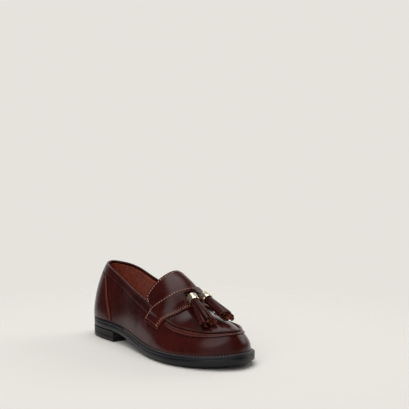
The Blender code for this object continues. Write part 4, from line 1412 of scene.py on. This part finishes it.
# %% The floor
FLOOR_RADIUS, FLOOR_FADE = 0.45, 0.22
bpy.ops.object.select_all(action="DESELECT")
bpy.ops.mesh.primitive_circle_add(vertices=96, radius=FLOOR_RADIUS, fill_type="TRIFAN")
floor = bpy.context.object
floor.name = floor.data.name = "studio_floor"
floor.data.transform(Matrix.Translation((0, 0, -GAP / 2)))
paper = new_material("pale_paper", (0.80, 0.78, 0.75, 1.0), 1.0, Specular_IOR_Level=0.0)
place = add_node(paper.node_tree, "TexCoord", {}).outputs["Object"]
far = add_node(paper.node_tree, "VectorMath", {0: place}, operation="LENGTH").outputs["Value"]
fade = add_node(paper.node_tree, "MapRange", {"Value": far, "From Min": FLOOR_FADE, "From Max": FLOOR_RADIUS,
                                              "To Min": 1.0, "To Max": 0.0}, interpolation_type="SMOOTHSTEP")
to_shader(paper, fade.outputs["Result"], "Alpha")
floor.data.materials.append(paper)

# %% [markdown]
# The camera stands where the photograph's stood: how far round and how far up it is, how far away, and
# which point of the shoe it shows at which pixel. The lens is worked out from a length in pixels, so the
# picture is framed as the photograph is.

# %% The camera
AZIMUTH, ELEVATION = math.radians(54.6), math.radians(7.02)
DISTANCE, FOCAL_PIXELS, PICTURE, SENSOR = 1.6472, 1479.2, 409, 36
AIM, AIM_PIXEL = np.array([0.131, 0.0, 0.030]), (167.67, 322.43)
right = Vector((math.cos(AZIMUTH), math.sin(AZIMUTH), 0))
back = Vector((math.sin(AZIMUTH) * math.cos(ELEVATION), -math.cos(AZIMUTH) * math.cos(ELEVATION),
               math.sin(ELEVATION)))
up = back.cross(right)
aside = (AIM_PIXEL[0] - PICTURE / 2) / FOCAL_PIXELS * DISTANCE
below = (AIM_PIXEL[1] - PICTURE / 2) / FOCAL_PIXELS * DISTANCE
bpy.ops.object.camera_add()
camera = bpy.context.object
camera.name = "photo_camera"
camera.data.sensor_width = SENSOR
camera.data.lens = FOCAL_PIXELS * SENSOR / PICTURE
camera.matrix_world = (Matrix.Translation(Vector(AIM + HOME) - right * aside + up * below + back * DISTANCE)
                       @ Matrix((right, up, back)).transposed().to_4x4())
bpy.context.scene.camera = camera
print("camera at", camera.matrix_world.translation)


# %% The world's light
behind = Vector((-back.x, -back.y, 0)).normalized()
left, overhead = -right, Vector((0, 0, 1))
LIGHT_BOXES = [
    # direction, closeness where the light starts, closeness where it is full, strength
    (behind, 0.60, 0.90, 0.75),
    (overhead + behind * 0.1, 0.84, 0.97, 3.16),
    (right + behind * 0.6 + overhead * 0.5, 0.92, 0.96, 2.0),
    (left * 0.5 - behind + overhead * 1.1, 0.88, 0.97, 2.4),
    (left * 0.25 - behind + overhead * 0.1, 0.75, 0.97, 0.6),
]
AMBIENT = 0.05
world = bpy.data.worlds.new("studio")
bpy.context.scene.world = world
world.use_nodes = True
tree = world.node_tree
total = AMBIENT
for direction, start, full, strength in LIGHT_BOXES:
    place = add_node(tree, "TexCoord", {}).outputs["Generated"]
    dot = add_node(tree, "VectorMath", {0: place, 1: direction.normalized()}, operation="DOT_PRODUCT")
    box = add_node(tree, "MapRange", {"Value": dot.outputs["Value"], "From Min": start, "From Max": full,
                                      "To Max": strength}, interpolation_type="SMOOTHSTEP")
    total = add_node(tree, "Math", {0: box.outputs["Result"], 1: total}, operation="ADD").outputs["Value"]

# %% What the camera sees of the world
lit = tree.nodes["Background"]
lit.inputs["Color"].default_value = (1.0, 0.99, 0.97, 1.0)
tree.links.new(total, lit.inputs["Strength"])
ground = add_node(tree, "Background", {"Color": linear(230, 227, 221)})
seen = add_node(tree, "LightPath", {})
mix = add_node(tree, "MixShader", {"Fac": seen.outputs["Is Camera Ray"], 1: lit.outputs["Background"],
                                   2: ground.outputs["Background"]})
tree.links.new(mix.outputs["Shader"], tree.nodes["World Output"].inputs["Surface"])
bpy.context.scene.view_settings.view_transform = "Standard"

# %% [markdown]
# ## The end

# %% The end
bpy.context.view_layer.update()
